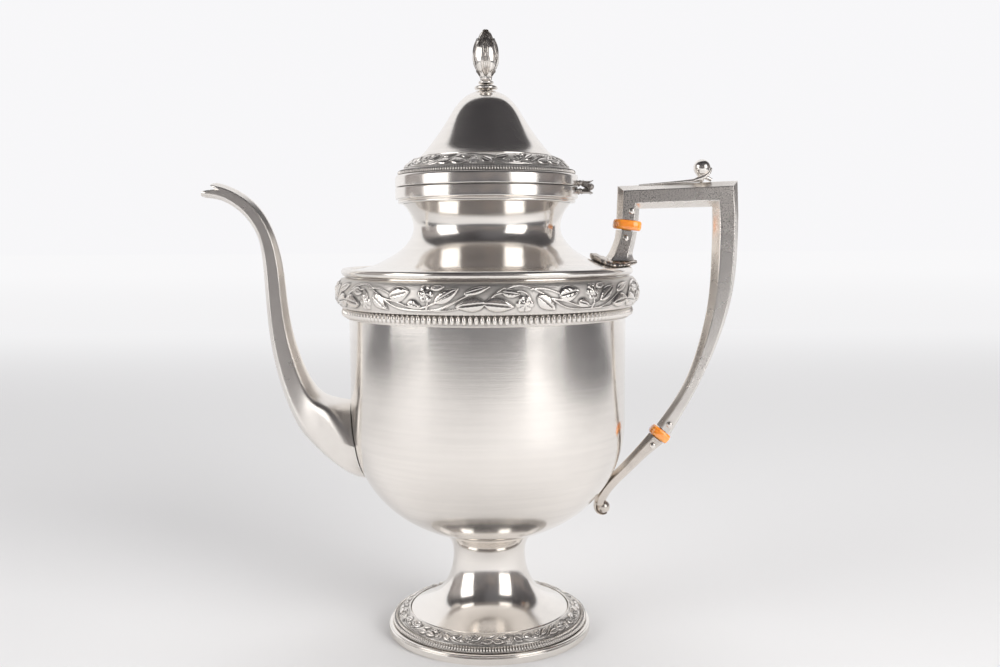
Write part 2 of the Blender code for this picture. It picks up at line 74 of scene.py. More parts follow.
def radius_of(node):
    low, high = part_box(node)
    return (high.y - low.y) / 2 / MM


def centre_of(node):
    """Middle of a node's box: (x from the body's axis, z)."""
    low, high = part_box(node)
    return ((low.x + high.x) / 2 - AXIS_X) / MM, (low.z + high.z) / 2 / MM


def full_turn(count):
    """count evenly spaced angles round a circle."""
    return np.arange(count) * 2 * math.pi / count


# ---------------------------------------------------------------- curves and outlines


def spline(points, count):
    """count points, evenly spaced along a natural cubic curve through points of any dimension."""
    points = np.array(points, float)
    knots = np.concatenate([[0], np.cumsum(np.linalg.norm(np.diff(points, axis=0), axis=1))])
    n = len(points)
    step = np.diff(knots)
    matrix, right = np.eye(n), np.zeros_like(points)
    for i in range(1, n - 1):
        matrix[i, i - 1:i + 2] = step[i - 1], 2 * (step[i - 1] + step[i]), step[i]
        right[i] = 6 * ((points[i + 1] - points[i]) / step[i] - (points[i] - points[i - 1]) / step[i - 1])
    bend = np.linalg.solve(matrix, right)
    at = np.linspace(0, knots[-1], count)
    k = np.clip(np.searchsorted(knots, at, side="right") - 1, 0, n - 2)
    h = step[k][:, None]
    a = (knots[k + 1] - at)[:, None] / h
    b = 1 - a
    return (a * points[k] + b * points[k + 1]
            + ((a ** 3 - a) * bend[k] + (b ** 3 - b) * bend[k + 1]) * h ** 2 / 6)


def rounded(points, radius, steps=4, closed=True):
    """Polyline with each corner replaced by a small arc-like curve."""
    points = [np.array(p, float) for p in points]
    result = []
    for i, corner in enumerate(points):
        if not closed and i in (0, len(points) - 1):
            result.append(corner)
            continue
        before = points[i - 1] - corner
        after = points[(i + 1) % len(points)] - corner
        reach = min(radius, 0.45 * np.linalg.norm(before), 0.45 * np.linalg.norm(after))
        start = corner + before / np.linalg.norm(before) * reach
        end = corner + after / np.linalg.norm(after) * reach
        for k in range(steps + 1):
            t = k / steps
            result.append((1 - t) ** 2 * start + 2 * t * (1 - t) * corner + t * t * end)
    return np.array(result)


def normals_of(points):
    """Unit normals to the left of an open (radius, height) line's direction of travel."""
    along = np.gradient(points, axis=0)
    along /= np.linalg.norm(along, axis=1)[:, None]
    return np.stack([-along[:, 1], along[:, 0]], axis=1)


def shell(outside, wall=WALL):
    """Closed outline of a sheet whose outer face is the given line, material to its left."""
    inside = outside + normals_of(outside) * wall
    return np.concatenate([outside, inside[::-1]])


# ---------------------------------------------------------------- meshes


def skin(rings, closed):
    """Vertices and faces through rings of points shaped (ring, column, 3).

    Closed joins the last ring to the first; otherwise both ends get a cap round a middle point.
    """
    count, columns = rings.shape[:2]
    vertices = rings.reshape(-1, 3)
    rows = np.arange(count if closed else count - 1)
    i, k = np.meshgrid(rows, np.arange(columns), indexing="ij")
    following, beside = (i + 1) % count, (k + 1) % columns
    quads = np.stack([i * columns + k, i * columns + beside,
                      following * columns + beside, following * columns + k], axis=-1)
    faces = [tuple(q) for q in quads.reshape(-1, 4).tolist()]
    if not closed:
        for ring in (0, count - 1):
            middle = len(vertices)
            vertices = np.concatenate([vertices, rings[ring].mean(axis=0)[None]])
            for column in range(columns):
                edge = (ring * columns + column, ring * columns + (column + 1) % columns)
                faces.append((*(edge if ring else edge[::-1]), middle))
    return vertices, faces


def facing_out(vertices, faces):
    """The faces, turned over if they enclose a negative volume."""
    triangles = [(f[0], f[j], f[j + 1]) for f in faces for j in range(1, len(f) - 1)]
    a, b, c = (vertices[list(column)] for column in zip(*triangles))
    volume = np.einsum("ij,ij->i", a, np.cross(b, c)).sum()
    return faces if volume > 0 else [f[::-1] for f in faces]


def link(name, data):
    """New object of the scene that shows the data."""
    obj = bpy.data.objects.new(name, data)
    bpy.context.scene.collection.objects.link(obj)
    return obj


def add_piece(name, bodies, material, body, stands_for, sharp=35.0, fields=None):
    """Make one object from closed bodies, each (vertices, faces) in millimetres.

    stands_for names the CAD nodes it replaces. fields maps the name of an attribute that the
    material reads to its value at each vertex.
    """
    vertices, faces, offset = [], [], 0
    for points, loops in bodies:
        vertices.append(points)
        faces += [tuple(i + offset for i in f) for f in facing_out(points, loops)]
        offset += len(points)
    mesh = bpy.data.meshes.new(name)
    mesh.from_pydata((np.concatenate(vertices) * MM).tolist(), [], faces)
    mesh.shade_smooth()
    mesh.set_sharp_from_angle(angle=math.radians(sharp))
    mesh.materials.append(material)
    for field, values in (fields or {}).items():
        layer = mesh.attributes.new(field, "FLOAT", "POINT")
        layer.data.foreach_set("value", np.asarray(values, np.float32))
    piece = link(name, mesh)
    piece.location = (AXIS_X, 0, 0)
    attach(piece, body)
    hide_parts(*stands_for)
    return piece


def turned_rings(outline, columns=ROUND):
    """Rings of an outline of (radius, height); column 0 faces the camera, the next ones go to +X."""
    angle = full_turn(columns)
    radius, height = np.asarray(outline, float).T
    x = radius[:, None] * np.sin(angle)
    y = -radius[:, None] * np.cos(angle)
    return np.stack([x, y, np.broadcast_to(height[:, None], x.shape)], axis=-1)


def turned(name, outline, material, body, columns=ROUND):
    bodies = [skin(turned_rings(outline, columns), closed=True)]
    return add_piece(name, bodies, material, body, [name_of_node(name)])


def name_of_node(name):
    """The CAD node that a piece called fine_NODE stands for."""
    return name.removeprefix("fine_")


def ball(centre, radius, columns=40, squash=(1, 1, 1)):
    tilt = np.linspace(0.02, math.pi - 0.02, columns // 2)
    turn = full_turn(columns)
    rings = np.stack([np.outer(np.sin(tilt), np.cos(turn)), np.outer(np.sin(tilt), np.sin(turn)),
                      np.outer(np.cos(tilt), np.ones(columns))], axis=-1)
    return skin(rings * radius * np.array(squash) + np.array(centre), closed=False)


# ---------------------------------------------------------------- chased relief


def smooth_step(value, low, high):
    t = np.clip((value - low) / (high - low), 0, 1)
    return t * t * (3 - 2 * t)


class Chasing:
    """Height of a chased frieze over a strip, in millimetres, that repeats after one unit."""

    def __init__(self, u, v, unit):
        self.u, self.v, self.unit = u, v, unit
        self.height = np.zeros(np.broadcast(u, v).shape)

    def offset(self, at):
        du = (self.u - at[0] + self.unit / 2) % self.unit - self.unit / 2
        return du, self.v - at[1]

    def raise_to(self, height):
        self.height = np.maximum(self.height, height)

    def leaf(self, at, length, width, turn, height=0.8, veins=0.025):
        """Pillowed leaf with a midrib and side veins; turn is the way its tip points, in degrees."""
        du, dv = self.offset(at)
        c, s = math.cos(math.radians(turn)), math.sin(math.radians(turn))
        along, across = du * c + dv * s, dv * c - du * s
        share = along / length + 0.5
        inside = np.clip(share, 1e-4, 1 - 1e-4)
        half = width / 2 * np.sin(math.pi * inside ** 0.8) ** 0.8
        body = np.sqrt(np.clip(1 - (across / half) ** 2, 0, 1)) * ((share > 0) & (share < 1))
        rib = np.exp(-(across / (0.055 * width)) ** 2) * smooth_step(share, 1.0, 0.75)
        ribs = np.cos((along + np.abs(across) * 0.9) * 2 * math.pi / (0.22 * width + 0.5))
        self.raise_to(height * body * (1 - 0.5 * rib) + veins * ribs * body)

    def flower(self, at, radius, petals=6, height=0.9):
        """Open flower: cupped petals round a domed eye."""
        du, dv = self.offset(at)
        reach = np.hypot(du, dv) / radius
        lobe = np.abs(np.cos(np.arctan2(dv, du) * petals / 2))
        edge = 0.72 + 0.28 * lobe ** 0.5
        petal = np.clip(1 - (reach / edge) ** 4, 0, 1) * (0.45 + 0.55 * lobe ** 0.6)
        cup = 1 - 0.45 * np.exp(-((reach - 0.52) / 0.17) ** 2)
        eye = np.sqrt(np.clip(1 - (reach / 0.27) ** 2, 0, 1))
        self.raise_to(height * np.maximum(petal * cup * 0.85, eye))

    def stem(self, points, width, height=0.45):
        """Round wire that follows a curve through points."""
        line = spline(points, 150)
        nearest = np.full(self.height.shape, 99.0)
        for x, y in line:
            du, dv = self.offset((x, y))
            nearest = np.minimum(nearest, np.hypot(du, dv))
        self.raise_to(height * np.sqrt(np.clip(1 - (nearest / (width / 2)) ** 2, 0, 1)))


FRIEZE_UNIT = 69.1          # length that the frieze is drawn at, on a strip 12 mm high


def frieze(u, v, unit, across):
    """The repeating frieze of flowers, paired leaves and crossing stems, squeezed by across."""
    along = unit / FRIEZE_UNIT
    drawing = Chasing(u / along, v / across, FRIEZE_UNIT)
    drawing.stem([(-7, 3.6), (-1.2, 4.9), (5, 2.6), (10.4, -0.4), (17, -3.9), (28, -5.2),
                  (36, -4.4), (42.5, -1.4), (47.5, 1.2)], 0.9)
    drawing.stem([(10.4, -0.4), (20, -2.6), (26, -4.2), (32.5, -2.8), (35.5, -1.4)], 0.8)
    drawing.stem([(30.5, -4.6), (31.2, -2.6), (30.5, 0)], 0.8)
    drawing.stem([(47.5, -2.9), (41.5, -4.6), (34, -5.2)], 0.8)
    drawing.stem([(55, -1.6), (56.5, 0.4), (60, 1.9), (63, 1.7)], 0.8)
    drawing.stem([(53.8, -2.6), (57.5, 1.6), (62, 4.0), (67.0, 4.9)], 0.8)
    drawing.stem([(2.5, 3.2), (8, 3.3), (13.5, 1.6), (15.5, 0.8)], 0.7)
    drawing.stem([(64.6, 1.6), (67.5, 2.6), (70.5, 0.8), (71.5, -1.2)], 0.7)
    drawing.leaf((50.9, 2.9), 10.5, 3.0, 16)
    drawing.leaf((63.8, 1.6), 7.0, 3.4, -8)
    drawing.leaf((39.0, 0.9), 11.0, 4.8, 30)
    drawing.leaf((25.6, -2.7), 5.8, 3.6, -14)
    drawing.leaf((35.4, 3.9), 5.6, 2.5, 8)
    drawing.leaf((18.8, 1.3), 9.6, 6.4, 12)
    drawing.leaf((8.9, -2.2), 9.4, 5.8, -36)
    drawing.leaf((48.2, -2.7), 11.4, 5.8, 186, height=0.95)
    drawing.leaf((59.2, -2.8), 11.6, 5.8, -6, height=0.95)
    drawing.flower((0, -2.5), 3.7)
    drawing.flower((30.5, 1.6), 3.6)
    return drawing.height


def blurred(values, rounds):
    """Values on a strip that closes on itself sideways, averaged with their neighbours."""
    for _ in range(rounds):
        values = (values + np.roll(values, 1, 1) + np.roll(values, -1, 1)) / 3
        edged = np.pad(values, ((1, 1), (0, 0)), mode="edge")
        values = (edged[:-2] + edged[1:-1] + edged[2:]) / 3
    return values


def matting(shape, amount):
    """Fine punched texture of the sunken ground."""
    return (blurred(RANDOM.random(shape), 1) - 0.5) * amount


def hollows(height, depth, rounds):
    """How deep each point lies below its neighbourhood, as a share of depth; the materials paint shade, and
    some tarnish, into these hollows.
    """
    return np.clip((blurred(height, rounds) - height) / depth, 0, 1)


def relief_ring(name, face, back, units, first, columns, pattern, material, body, fade=0.9,
                shade=0.22, reach=14):
    """Turned moulding whose face, a fine (radius, height) line, carries a repeating relief.

    pattern(u, v, unit) gives the height; u runs round the middle radius and v up from the face's
    middle. first is the angle, in degrees from the camera towards +X, at which a unit begins.
    Where the relief lies shade mm below what surrounds it, within reach grid steps, it is painted dark:
    shade of the recesses, with some tarnish in them.
    """
    span = columns // units
    length = np.concatenate([[0], np.cumsum(np.linalg.norm(np.diff(face, axis=0), axis=1))])
    v = (length[-1] / 2 - length)[:, None]
    unit = 2 * math.pi * face[:, 0].mean() / units
    u = (np.arange(span) * unit / span)[None]
    height = pattern(u, v, unit)
    ends = smooth_step(length[-1] / 2 - np.abs(v), 0.0, fade)
    height = height * ends
    ground = smooth_step(height, 0.12, 0.0) * smooth_step(ends, 0.3, 0.9)
    hollow = hollows(height, shade, reach)
    height = height + matting(height.shape, 0.28) * ground
    turn = round(first / 360 * columns)
    height, hollow, ground = (np.roll(np.tile(values, (1, units)), turn, axis=1)
                              for values in (height, hollow, ground))
    normal = normals_of(face)
    if (normal.mean(axis=0) * (face.mean(axis=0) - np.mean(back, axis=0))).sum() < 0:
        normal = -normal
    angle = full_turn(height.shape[1])
    radius = face[:, :1] + normal[:, :1] * height
    rise = face[:, 1:] + normal[:, 1:] * height
    front = np.stack([radius * np.sin(angle), -radius * np.cos(angle), rise], axis=-1)
    behind = turned_rings(back, height.shape[1])
    rings = np.concatenate([front, behind])
    plain = np.zeros(behind.shape[:2])
    fields = {"hollow": np.concatenate([hollow, plain]).ravel(),
              "matt": np.concatenate([ground, plain]).ravel()}
    return add_piece(name, [skin(rings, closed=True)], material, body, [name_of_node(name)],
                     sharp=180.0, fields=fields)


def beads(length, middle=0.0, width=0.82):
    """Pattern of one oval bead per unit; width is its share of the unit, middle its place across."""
    def pattern(u, v, unit):
        reach = (2 * (u - unit / 2) / (unit * width)) ** 2 + (2 * (v - middle) / length) ** 2
        return np.sqrt(np.clip(1 - reach, 0, 1)) * unit * 0.60
    return pattern


# ---------------------------------------------------------------- materials


class Graph:
    """Short way to build a node tree."""

    def __init__(self, tree):
        self.tree = tree
        tree.nodes.clear()

    def add(self, kind, inputs=(), **settings):
        node = self.tree.nodes.new(kind)
        for name, value in settings.items():
            setattr(node, name, value)
        for name, value in dict(inputs).items():
            if isinstance(value, bpy.types.NodeSocket):
                self.tree.links.new(value, node.inputs[name])
            else:
                node.inputs[name].default_value = value
        return node

    def math(self, operation, *values):
        return self.add("ShaderNodeMath", dict(enumerate(values)), operation=operation).outputs[0]

    def times(self, first, second):
        return self.math("MULTIPLY", first, second)

    def plus(self, first, second):
        return self.math("ADD", first, second)

    def minus(self, first, second):
        return self.math("SUBTRACT", first, second)

    def larger(self, first, second):
        return self.math("MAXIMUM", first, second)

    def split(self, vector):
        """The X, Y and Z of a vector."""
        return self.add("ShaderNodeSeparateXYZ", {0: vector}).outputs

    def vector(self, x, y, z):
        return self.add("ShaderNodeCombineXYZ", {0: x, 1: y, 2: z}).outputs[0]

    def noise(self, vector, scale, detail=3.0, rough=0.5):
        return self.add("ShaderNodeTexNoise", {"Vector": vector, "Scale": scale, "Detail": detail,
                                               "Roughness": rough}).outputs["Fac"]

    def ramp(self, value, low, high, start=0.0, end=1.0):
        return self.add("ShaderNodeMapRange", {"Value": value, "From Min": low, "From Max": high,
                                               "To Min": start, "To Max": end},
                        interpolation_type="SMOOTHSTEP").outputs[0]

    def mix(self, factor, first, second):
        node = self.add("ShaderNodeMix", {0: factor}, data_type="RGBA")
        for socket, colour in ((node.inputs[6], first), (node.inputs[7], second)):
            if isinstance(colour, bpy.types.NodeSocket):
                self.tree.links.new(colour, socket)
            else:
                socket.default_value = (*colour, 1.0)
        return node.outputs[2]


def new_material(name):
    material = bpy.data.materials.new(name)
    material.use_nodes = True
    return material, Graph(material.node_tree)


def finish_material(graph, shader):
    graph.add("ShaderNodeOutputMaterial", {"Surface": shader.outputs[0]})


def brushing(graph, around):
    """Noise coordinates of brush lines, and of swirls; around says the lines run round the axis."""
    point = graph.add("ShaderNodeTexCoord").outputs["Object"]
    axes = graph.split(point)
    if not around:
        stretched = graph.vector(graph.times(axes[0], 0.12), axes[1],
                                 graph.times(axes[2], 0.12))
        return point, stretched
    turn = graph.math("ARCTAN2", axes[1], axes[0])
    reach = graph.math("SQRT", graph.plus(graph.times(axes[0], axes[0]),
                                          graph.times(axes[1], axes[1])))
    return point, graph.vector(graph.times(turn, 0.0016), reach, axes[2])


GREY_FILM = (0.56, 0.53, 0.50)
MATT_GROUND = (0.50, 0.48, 0.465)
# Colour of the relief's hollows: painted shade of the recesses, with some tarnish that settles in them.
HOLLOW_SHADE_AND_TARNISH = (0.12, 0.113, 0.108)
STAIN = (0.42, 0.39, 0.375)
PIT = (0.12, 0.105, 0.10)
PITTED_FROM, PITTED_FULLY = 0.163, 0.180            # heights in metres
POLISH_FADE = 0.005         # metres over which the polished bottom turns into brushed silver


def silver(name, roughness, scratches, around=True, blur=0.0, tarnish=0.25, tone=(0.955, 0.915, 0.868),
           relief=False, pits=0.0, haze=0.12, bright_below=0.0):
    """Polished silver.

    scratches is the depth of the brush lines and blur how far they smear reflections across
    themselves. tarnish is the share of grey film; relief says the piece is chased and has the
    fields hollow and matt; pits adds pitted patches; haze is the share of fine wear that
    scatters light widely. Below the height bright_below (m) the piece is polished smooth.
    """
    material, graph = new_material(name)
    point, brushed = brushing(graph, around)
    cloud = graph.noise(point, 26.0, 4.0, 0.6)
    mottle = graph.noise(point, 240.0, 4.0, 0.65)
    film = graph.times(graph.ramp(cloud, 0.42, 0.72), tarnish)
    colour = graph.mix(film, tone, GREY_FILM)
    rough = graph.plus(roughness, graph.times(film, 0.22))
    rough = graph.plus(rough, graph.times(graph.minus(mottle, 0.5), 0.05))
    fine = graph.noise(brushed, 2600.0, 3.0, 0.7)
    coarse = graph.noise(brushed, 520.0, 2.0, 0.6)
    swirl = graph.noise(graph.add("ShaderNodeVectorRotate", {"Vector": brushed, "Angle": 0.35},
                                  rotation_type="X_AXIS").outputs[0], 900.0, 2.0)
    height = graph.plus(fine, graph.times(graph.plus(coarse, swirl), 0.8))
    bump = graph.add("ShaderNodeBump", {"Height": height, "Strength": scratches, "Distance": 0.00002})
    streaks = graph.ramp(coarse, 0.35, 0.65, 0.7, 1.0)
    if relief:
        hollow = graph.add("ShaderNodeAttribute", attribute_name="hollow").outputs["Fac"]
        matt = graph.add("ShaderNodeAttribute", attribute_name="matt").outputs["Fac"]
        hollow = graph.times(hollow, graph.ramp(mottle, 0.25, 0.55, 0.7, 1.0))
        colour = graph.mix(graph.times(matt, 0.15), colour, MATT_GROUND)
        # The hollows are painted dark: painted shade, with some tarnish.
        colour = graph.mix(graph.times(hollow, 0.88), colour, HOLLOW_SHADE_AND_TARNISH)
        rough = graph.plus(rough, graph.times(hollow, 0.15))
        rough = graph.plus(rough, graph.times(matt, 0.30))
    if pits:
        up = graph.split(point)[2]
        facing = graph.add("ShaderNodeNewGeometry").outputs["Normal"]
        facing = graph.math("ABSOLUTE", graph.split(facing)[1])
        patch = graph.times(graph.ramp(graph.noise(point, 45.0, 4.0, 0.6), 0.36, 0.58),
                           graph.ramp(up, PITTED_FROM, PITTED_FULLY, 0.2, 1.0))
        patch = graph.times(patch, graph.ramp(facing, 0.85, 0.97, 0.15, 1.0))
        pit = graph.times(graph.ramp(graph.noise(point, 1500.0, 4.0, 0.8), 0.48, 0.60), patch)
        colour = graph.mix(graph.times(patch, 0.25 * pits), colour, STAIN)
        colour = graph.mix(graph.times(pit, pits), colour, PIT)
        rough = graph.plus(rough, graph.times(patch, 0.07))
        bump = graph.add("ShaderNodeBump", {"Height": graph.times(pit, -1.0), "Strength": 0.25,
                                            "Distance": 0.00004, "Normal": bump.outputs[0]})
    inputs = {"Base Color": colour, "Metallic": 1.0, "Roughness": rough, "Normal": bump.outputs[0]}
    if blur:
        up = graph.split(point)[2]
        brushed_part = graph.ramp(up, bright_below - POLISH_FADE, bright_below)
        inputs["Roughness"] = graph.times(rough, graph.ramp(brushed_part, 0.0, 1.0, 0.4))
        tangent = graph.add("ShaderNodeTangent", direction_type="RADIAL", axis="Z")
        inputs |= {"Anisotropic": graph.times(brushed_part, blur),
                   "Anisotropic Rotation": 0.25, "Tangent": tangent.outputs[0]}
    polish = graph.add("ShaderNodeBsdfPrincipled", inputs)
    worn = graph.add("ShaderNodeBsdfPrincipled", inputs | {"Roughness": 0.5})
    finish_material(graph, graph.add("ShaderNodeMixShader", {
        0: graph.times(streaks, haze), 1: polish.outputs[0], 2: worn.outputs[0]}))
    return material


def amber():
    """Glossy orange insulator, deeper in colour where it is thicker."""
    material, graph = new_material("amber_insulator")
    point = graph.add("ShaderNodeTexCoord").outputs["Object"]
    cloud = graph.noise(point, 130.0, 3.0)
    speck = graph.noise(point, 900.0, 2.0)
    colour = graph.mix(graph.ramp(cloud, 0.35, 0.65), (0.84, 0.26, 0.022), (0.92, 0.35, 0.042))
    rough = graph.ramp(speck, 0.4, 0.8, 0.10, 0.24)
    bump = graph.add("ShaderNodeBump", {"Height": speck, "Strength": 0.12, "Distance": 0.00002})
    finish_material(graph, graph.add("ShaderNodeBsdfPrincipled", {
        "Base Color": colour, "Roughness": rough, "IOR": 1.54, "Subsurface Weight": 0.35,
        "Subsurface Radius": (0.002, 0.0008, 0.0002), "Subsurface Scale": 1.0,
        "Normal": bump.outputs[0], "Coat Weight": 1.0, "Coat Roughness": 0.05, "Coat IOR": 1.9,
    }))
    return material


BRIGHT = silver("bright_silver", 0.15, 0.18, tarnish=0.22)
FOOT = silver("foot_silver", 0.14, 0.22, tarnish=0.25, haze=0.08)
SATIN = silver("satin_silver", 0.145, 0.26, blur=0.55, tarnish=0.10, bright_below=0.055)
NECK = silver("neck_silver", 0.14, 0.24, blur=0.55, tarnish=0.12)
DOME = silver("dome_silver", 0.12, 0.40, blur=0.40, tarnish=0.10)
CHASED = silver("chased_silver", 0.14, 0.10, tarnish=0.15, relief=True)
STRAP = silver("tarnished_silver", 0.24, 0.20, around=False, tarnish=0.35, pits=0.9)
PLAIN = silver("plain_silver", 0.15, 0.15, around=False, tarnish=0.35)
AGED = silver("aged_silver", 0.20, 0.25, around=False, tarnish=0.7, tone=(0.80, 0.735, 0.67), pits=0.5)
SHADED = silver("shaded_silver", 0.30, 0.15, tarnish=0.9, tone=(0.45, 0.42, 0.40))
SPOUT = silver("spout_silver", 0.28, 0.2, around=False, tarnish=0.20)
DULL = silver("hinge_silver", 0.20, 0.2, around=False, tarnish=0.9, tone=(0.5, 0.45, 0.42), pits=0.6)
AMBER = amber()


# ---------------------------------------------------------------- turned and chased pieces


BOWL_RADIUS = radius_of("body_bowl")
BOWL_BOTTOM = bottom_of("body_bowl")
BOWL_TOP = top_of("body_bowl")
BOWL_SHOULDER = 96.0        # where the rounded bottom turns into the straight wall
BOWL_FULLNESS = 2.12        # exponent of the rounded bottom
BAND_BEADS, FOOT_BEADS, LID_BEADS = 168, 218, 210


def bowl_radius(height, growth=0.0):
    """Outer radius of the bowl at a height; growth offsets the surface outwards."""
    drop = (BOWL_SHOULDER - np.asarray(height, float)) / (BOWL_SHOULDER - BOWL_BOTTOM + growth)
    bulge = np.clip(1 - np.clip(drop, 0, 1) ** BOWL_FULLNESS, 0, 1) ** (1 / BOWL_FULLNESS)
    return (BOWL_RADIUS + growth) * bulge


def build_bowl():
    def bottom(growth):
        depth = BOWL_SHOULDER - BOWL_BOTTOM + growth
        angle = np.linspace(0, math.pi / 2, 72)[:-1]
        height = BOWL_SHOULDER - depth * np.sin(angle) ** (2 / BOWL_FULLNESS)
        return np.stack([bowl_radius(height, growth), height], axis=1)

    wall = np.linspace(BOWL_TOP, BOWL_SHOULDER + 2, 12)
    outside = np.concatenate([np.stack([np.full(12, BOWL_RADIUS), wall], axis=1), bottom(0.0)])
    inside = np.concatenate([np.stack([np.full(12, BOWL_RADIUS - WALL), wall], axis=1), bottom(-WALL)])
    low = np.array([[0.3, BOWL_BOTTOM], [0.3, BOWL_BOTTOM + WALL]])
    outline = np.concatenate([outside, low, inside[::-1]])
    turned("fine_body_bowl", outline, SATIN, "pot")


def build_neck():
    shoulder = rounded([(61.2, 152.3), (61.2, 162.0), (60.2, 162.8), (55.5, 163.4)], 0.8, closed=False)
    neck = spline([(55.5, 163.4), (50.0, 164.9), (44.6, 167.4), (38.6, 171.1), (34.3, 175.6),
                   (32.5, 180.0), (33.0, 184.8), (34.6, 188.4), (36.9, 191.4)], 90)
    turned("fine_shoulder_neck", shell(np.concatenate([shoulder, neck[1:]])), NECK, "pot")
    turned("fine_neck_rim", rounded([
        (40.1, 198.2), (40.1, 193.6), (39.5, 193.2), (38.6, 193.1), (39.1, 192.4), (38.9, 191.7),
        (37.6, 191.4), (36.5, 191.9), (38.1, 194.2), (38.1, 198.2),
    ], 0.35), BRIGHT, "pot")


def build_band():
    turned("fine_shoulder_rim", rounded([
        (61.6, 163.3), (62.4, 163.9), (63.7, 163.5), (64.3, 162.1), (63.7, 160.8), (62.5, 160.3),
        (61.6, 160.3),
    ], 1.4, 8), BRIGHT, "pot")
    face = spline([(63.3, 159.9), (64.5, 159.3), (66.1, 156.7), (66.7, 152.8), (66.1, 149.4),
                   (64.4, 146.9)], 84)
    face[:, 0] -= 0.35
    back = [(61.6, 147.2), (61.6, 159.9)]
    relief_ring("fine_floral_band", face, back, 6, 13.1, 2160,
                lambda u, v, unit: frieze(u, v, unit, 1.0),
                CHASED, "pot")
    face = spline([(61.9, 146.7), (62.7, 146.0), (62.9, 144.8), (62.7, 143.7), (62.3, 143.0),
                   (62.4, 142.6), (61.9, 142.1)], 34)
    back = [(61.6, 142.0), (61.6, 146.7)]
    relief_ring("fine_band_beading", face, back, BAND_BEADS, 0.0, BAND_BEADS * 14, beads(3.3, 0.45),
                CHASED, "pot", fade=0.1, shade=0.4, reach=8)


def build_foot():
    flare = spline([(20.6, 44.4), (17.6, 41.0), (16.4, 37.5), (16.2, 33.5), (16.7, 29.2),
                    (17.9, 24.8), (20.0, 20.4), (23.9, 15.9), (29.3, 12.5), (35.3, 9.8)], 90)
    skirt = rounded([(35.3, 9.8), (35.9, 9.1), (40.8, 6.0), (43.0, 4.4), (43.0, 0.6)], 0.3, closed=False)
    turned("fine_pedestal_foot", shell(np.concatenate([flare, skirt[1:]]), -WALL)[::-1], FOOT, "pot")
    face = spline([(36.0, 9.85), (37.2, 9.5), (39.6, 8.2), (41.3, 6.5)], 40)
    back = [(41.3, 6.1), (36.0, 9.5)]
    relief_ring("fine_foot_border", face[::-1], back[::-1], 8, 12.5, 1920,
                lambda u, v, unit: 0.85 * frieze(u, -v, unit, 0.44),
                CHASED, "pot", fade=0.35, shade=0.16, reach=9)
    face = spline([(41.6, 6.5), (42.6, 6.2), (43.4, 5.5), (43.8, 4.6)], 20)
    back = [(43.3, 4.6), (41.7, 5.9)]
    relief_ring("fine_foot_beading", face[::-1], back[::-1], FOOT_BEADS, 0.0, FOOT_BEADS * 12,
                beads(2.6, width=0.74), CHASED, "pot", fade=0.1, shade=0.12, reach=6)
    turned("fine_foot_rim", rounded([
        (43.4, 4.2), (44.5, 4.3), (45.2, 3.9), (45.3, 3.5), (45.1, 3.25), (45.6, 3.05), (45.7, 2.6),
        (45.7, 0.4), (45.4, 0.0), (43.4, 0.0),
    ], 0.35, 5), FOOT, "pot")


def build_lid():
    seat = [(37.0, 203.5), (36.2, 204.6), (29.2, 210.3)]
    dome = spline([(29.2, 211.8), (27.2, 213.9), (24.8, 216.8), (21.3, 221.4), (17.6, 226.9),
                   (14.7, 231.6), (12.1, 235.1), (8.9, 238.0), (5.4, 239.7), (1.6, 240.2)], 80)
    outside = np.concatenate([rounded(seat + [tuple(dome[0])], 0.5, closed=False), dome[1:]])
    turned("fine_lid_dome", shell(outside), DOME, "lid")
    face = spline([(29.5, 211.5), (31.2, 211.0), (34.0, 208.9), (36.2, 206.7), (37.1, 205.4)], 56)
    back = [(36.6, 204.9), (29.5, 210.8)]
    relief_ring("fine_lid_border", face[::-1], back[::-1], 5, -8.0, 1800,
                lambda u, v, unit: 0.72 * frieze(u, -v, unit, 0.64),
                CHASED, "lid", fade=1.0)
    face = spline([(37.3, 205.3), (37.9, 205.2), (38.3, 204.8), (38.4, 203.7)], 18)
    back = [(37.9, 203.6), (37.3, 204.4)]
    relief_ring("fine_lid_beading", face[::-1], back[::-1], LID_BEADS, 0.0, LID_BEADS * 12,
                beads(2.1, width=0.68), CHASED, "lid", fade=0.1, shade=0.08, reach=6)
    turned("fine_lid_rim", rounded([
        (38.0, 203.1), (38.9, 203.7), (39.6, 203.6), (40.1, 202.9), (40.1, 198.6), (38.0, 198.6),
    ], 0.45, 5), BRIGHT, "lid")
    turned("fine_lid_flange", rounded([(37.6, 202.9), (37.6, 194.4), (36.8, 194.4), (36.8, 202.9)], 0.2),
           SHADED, "lid")


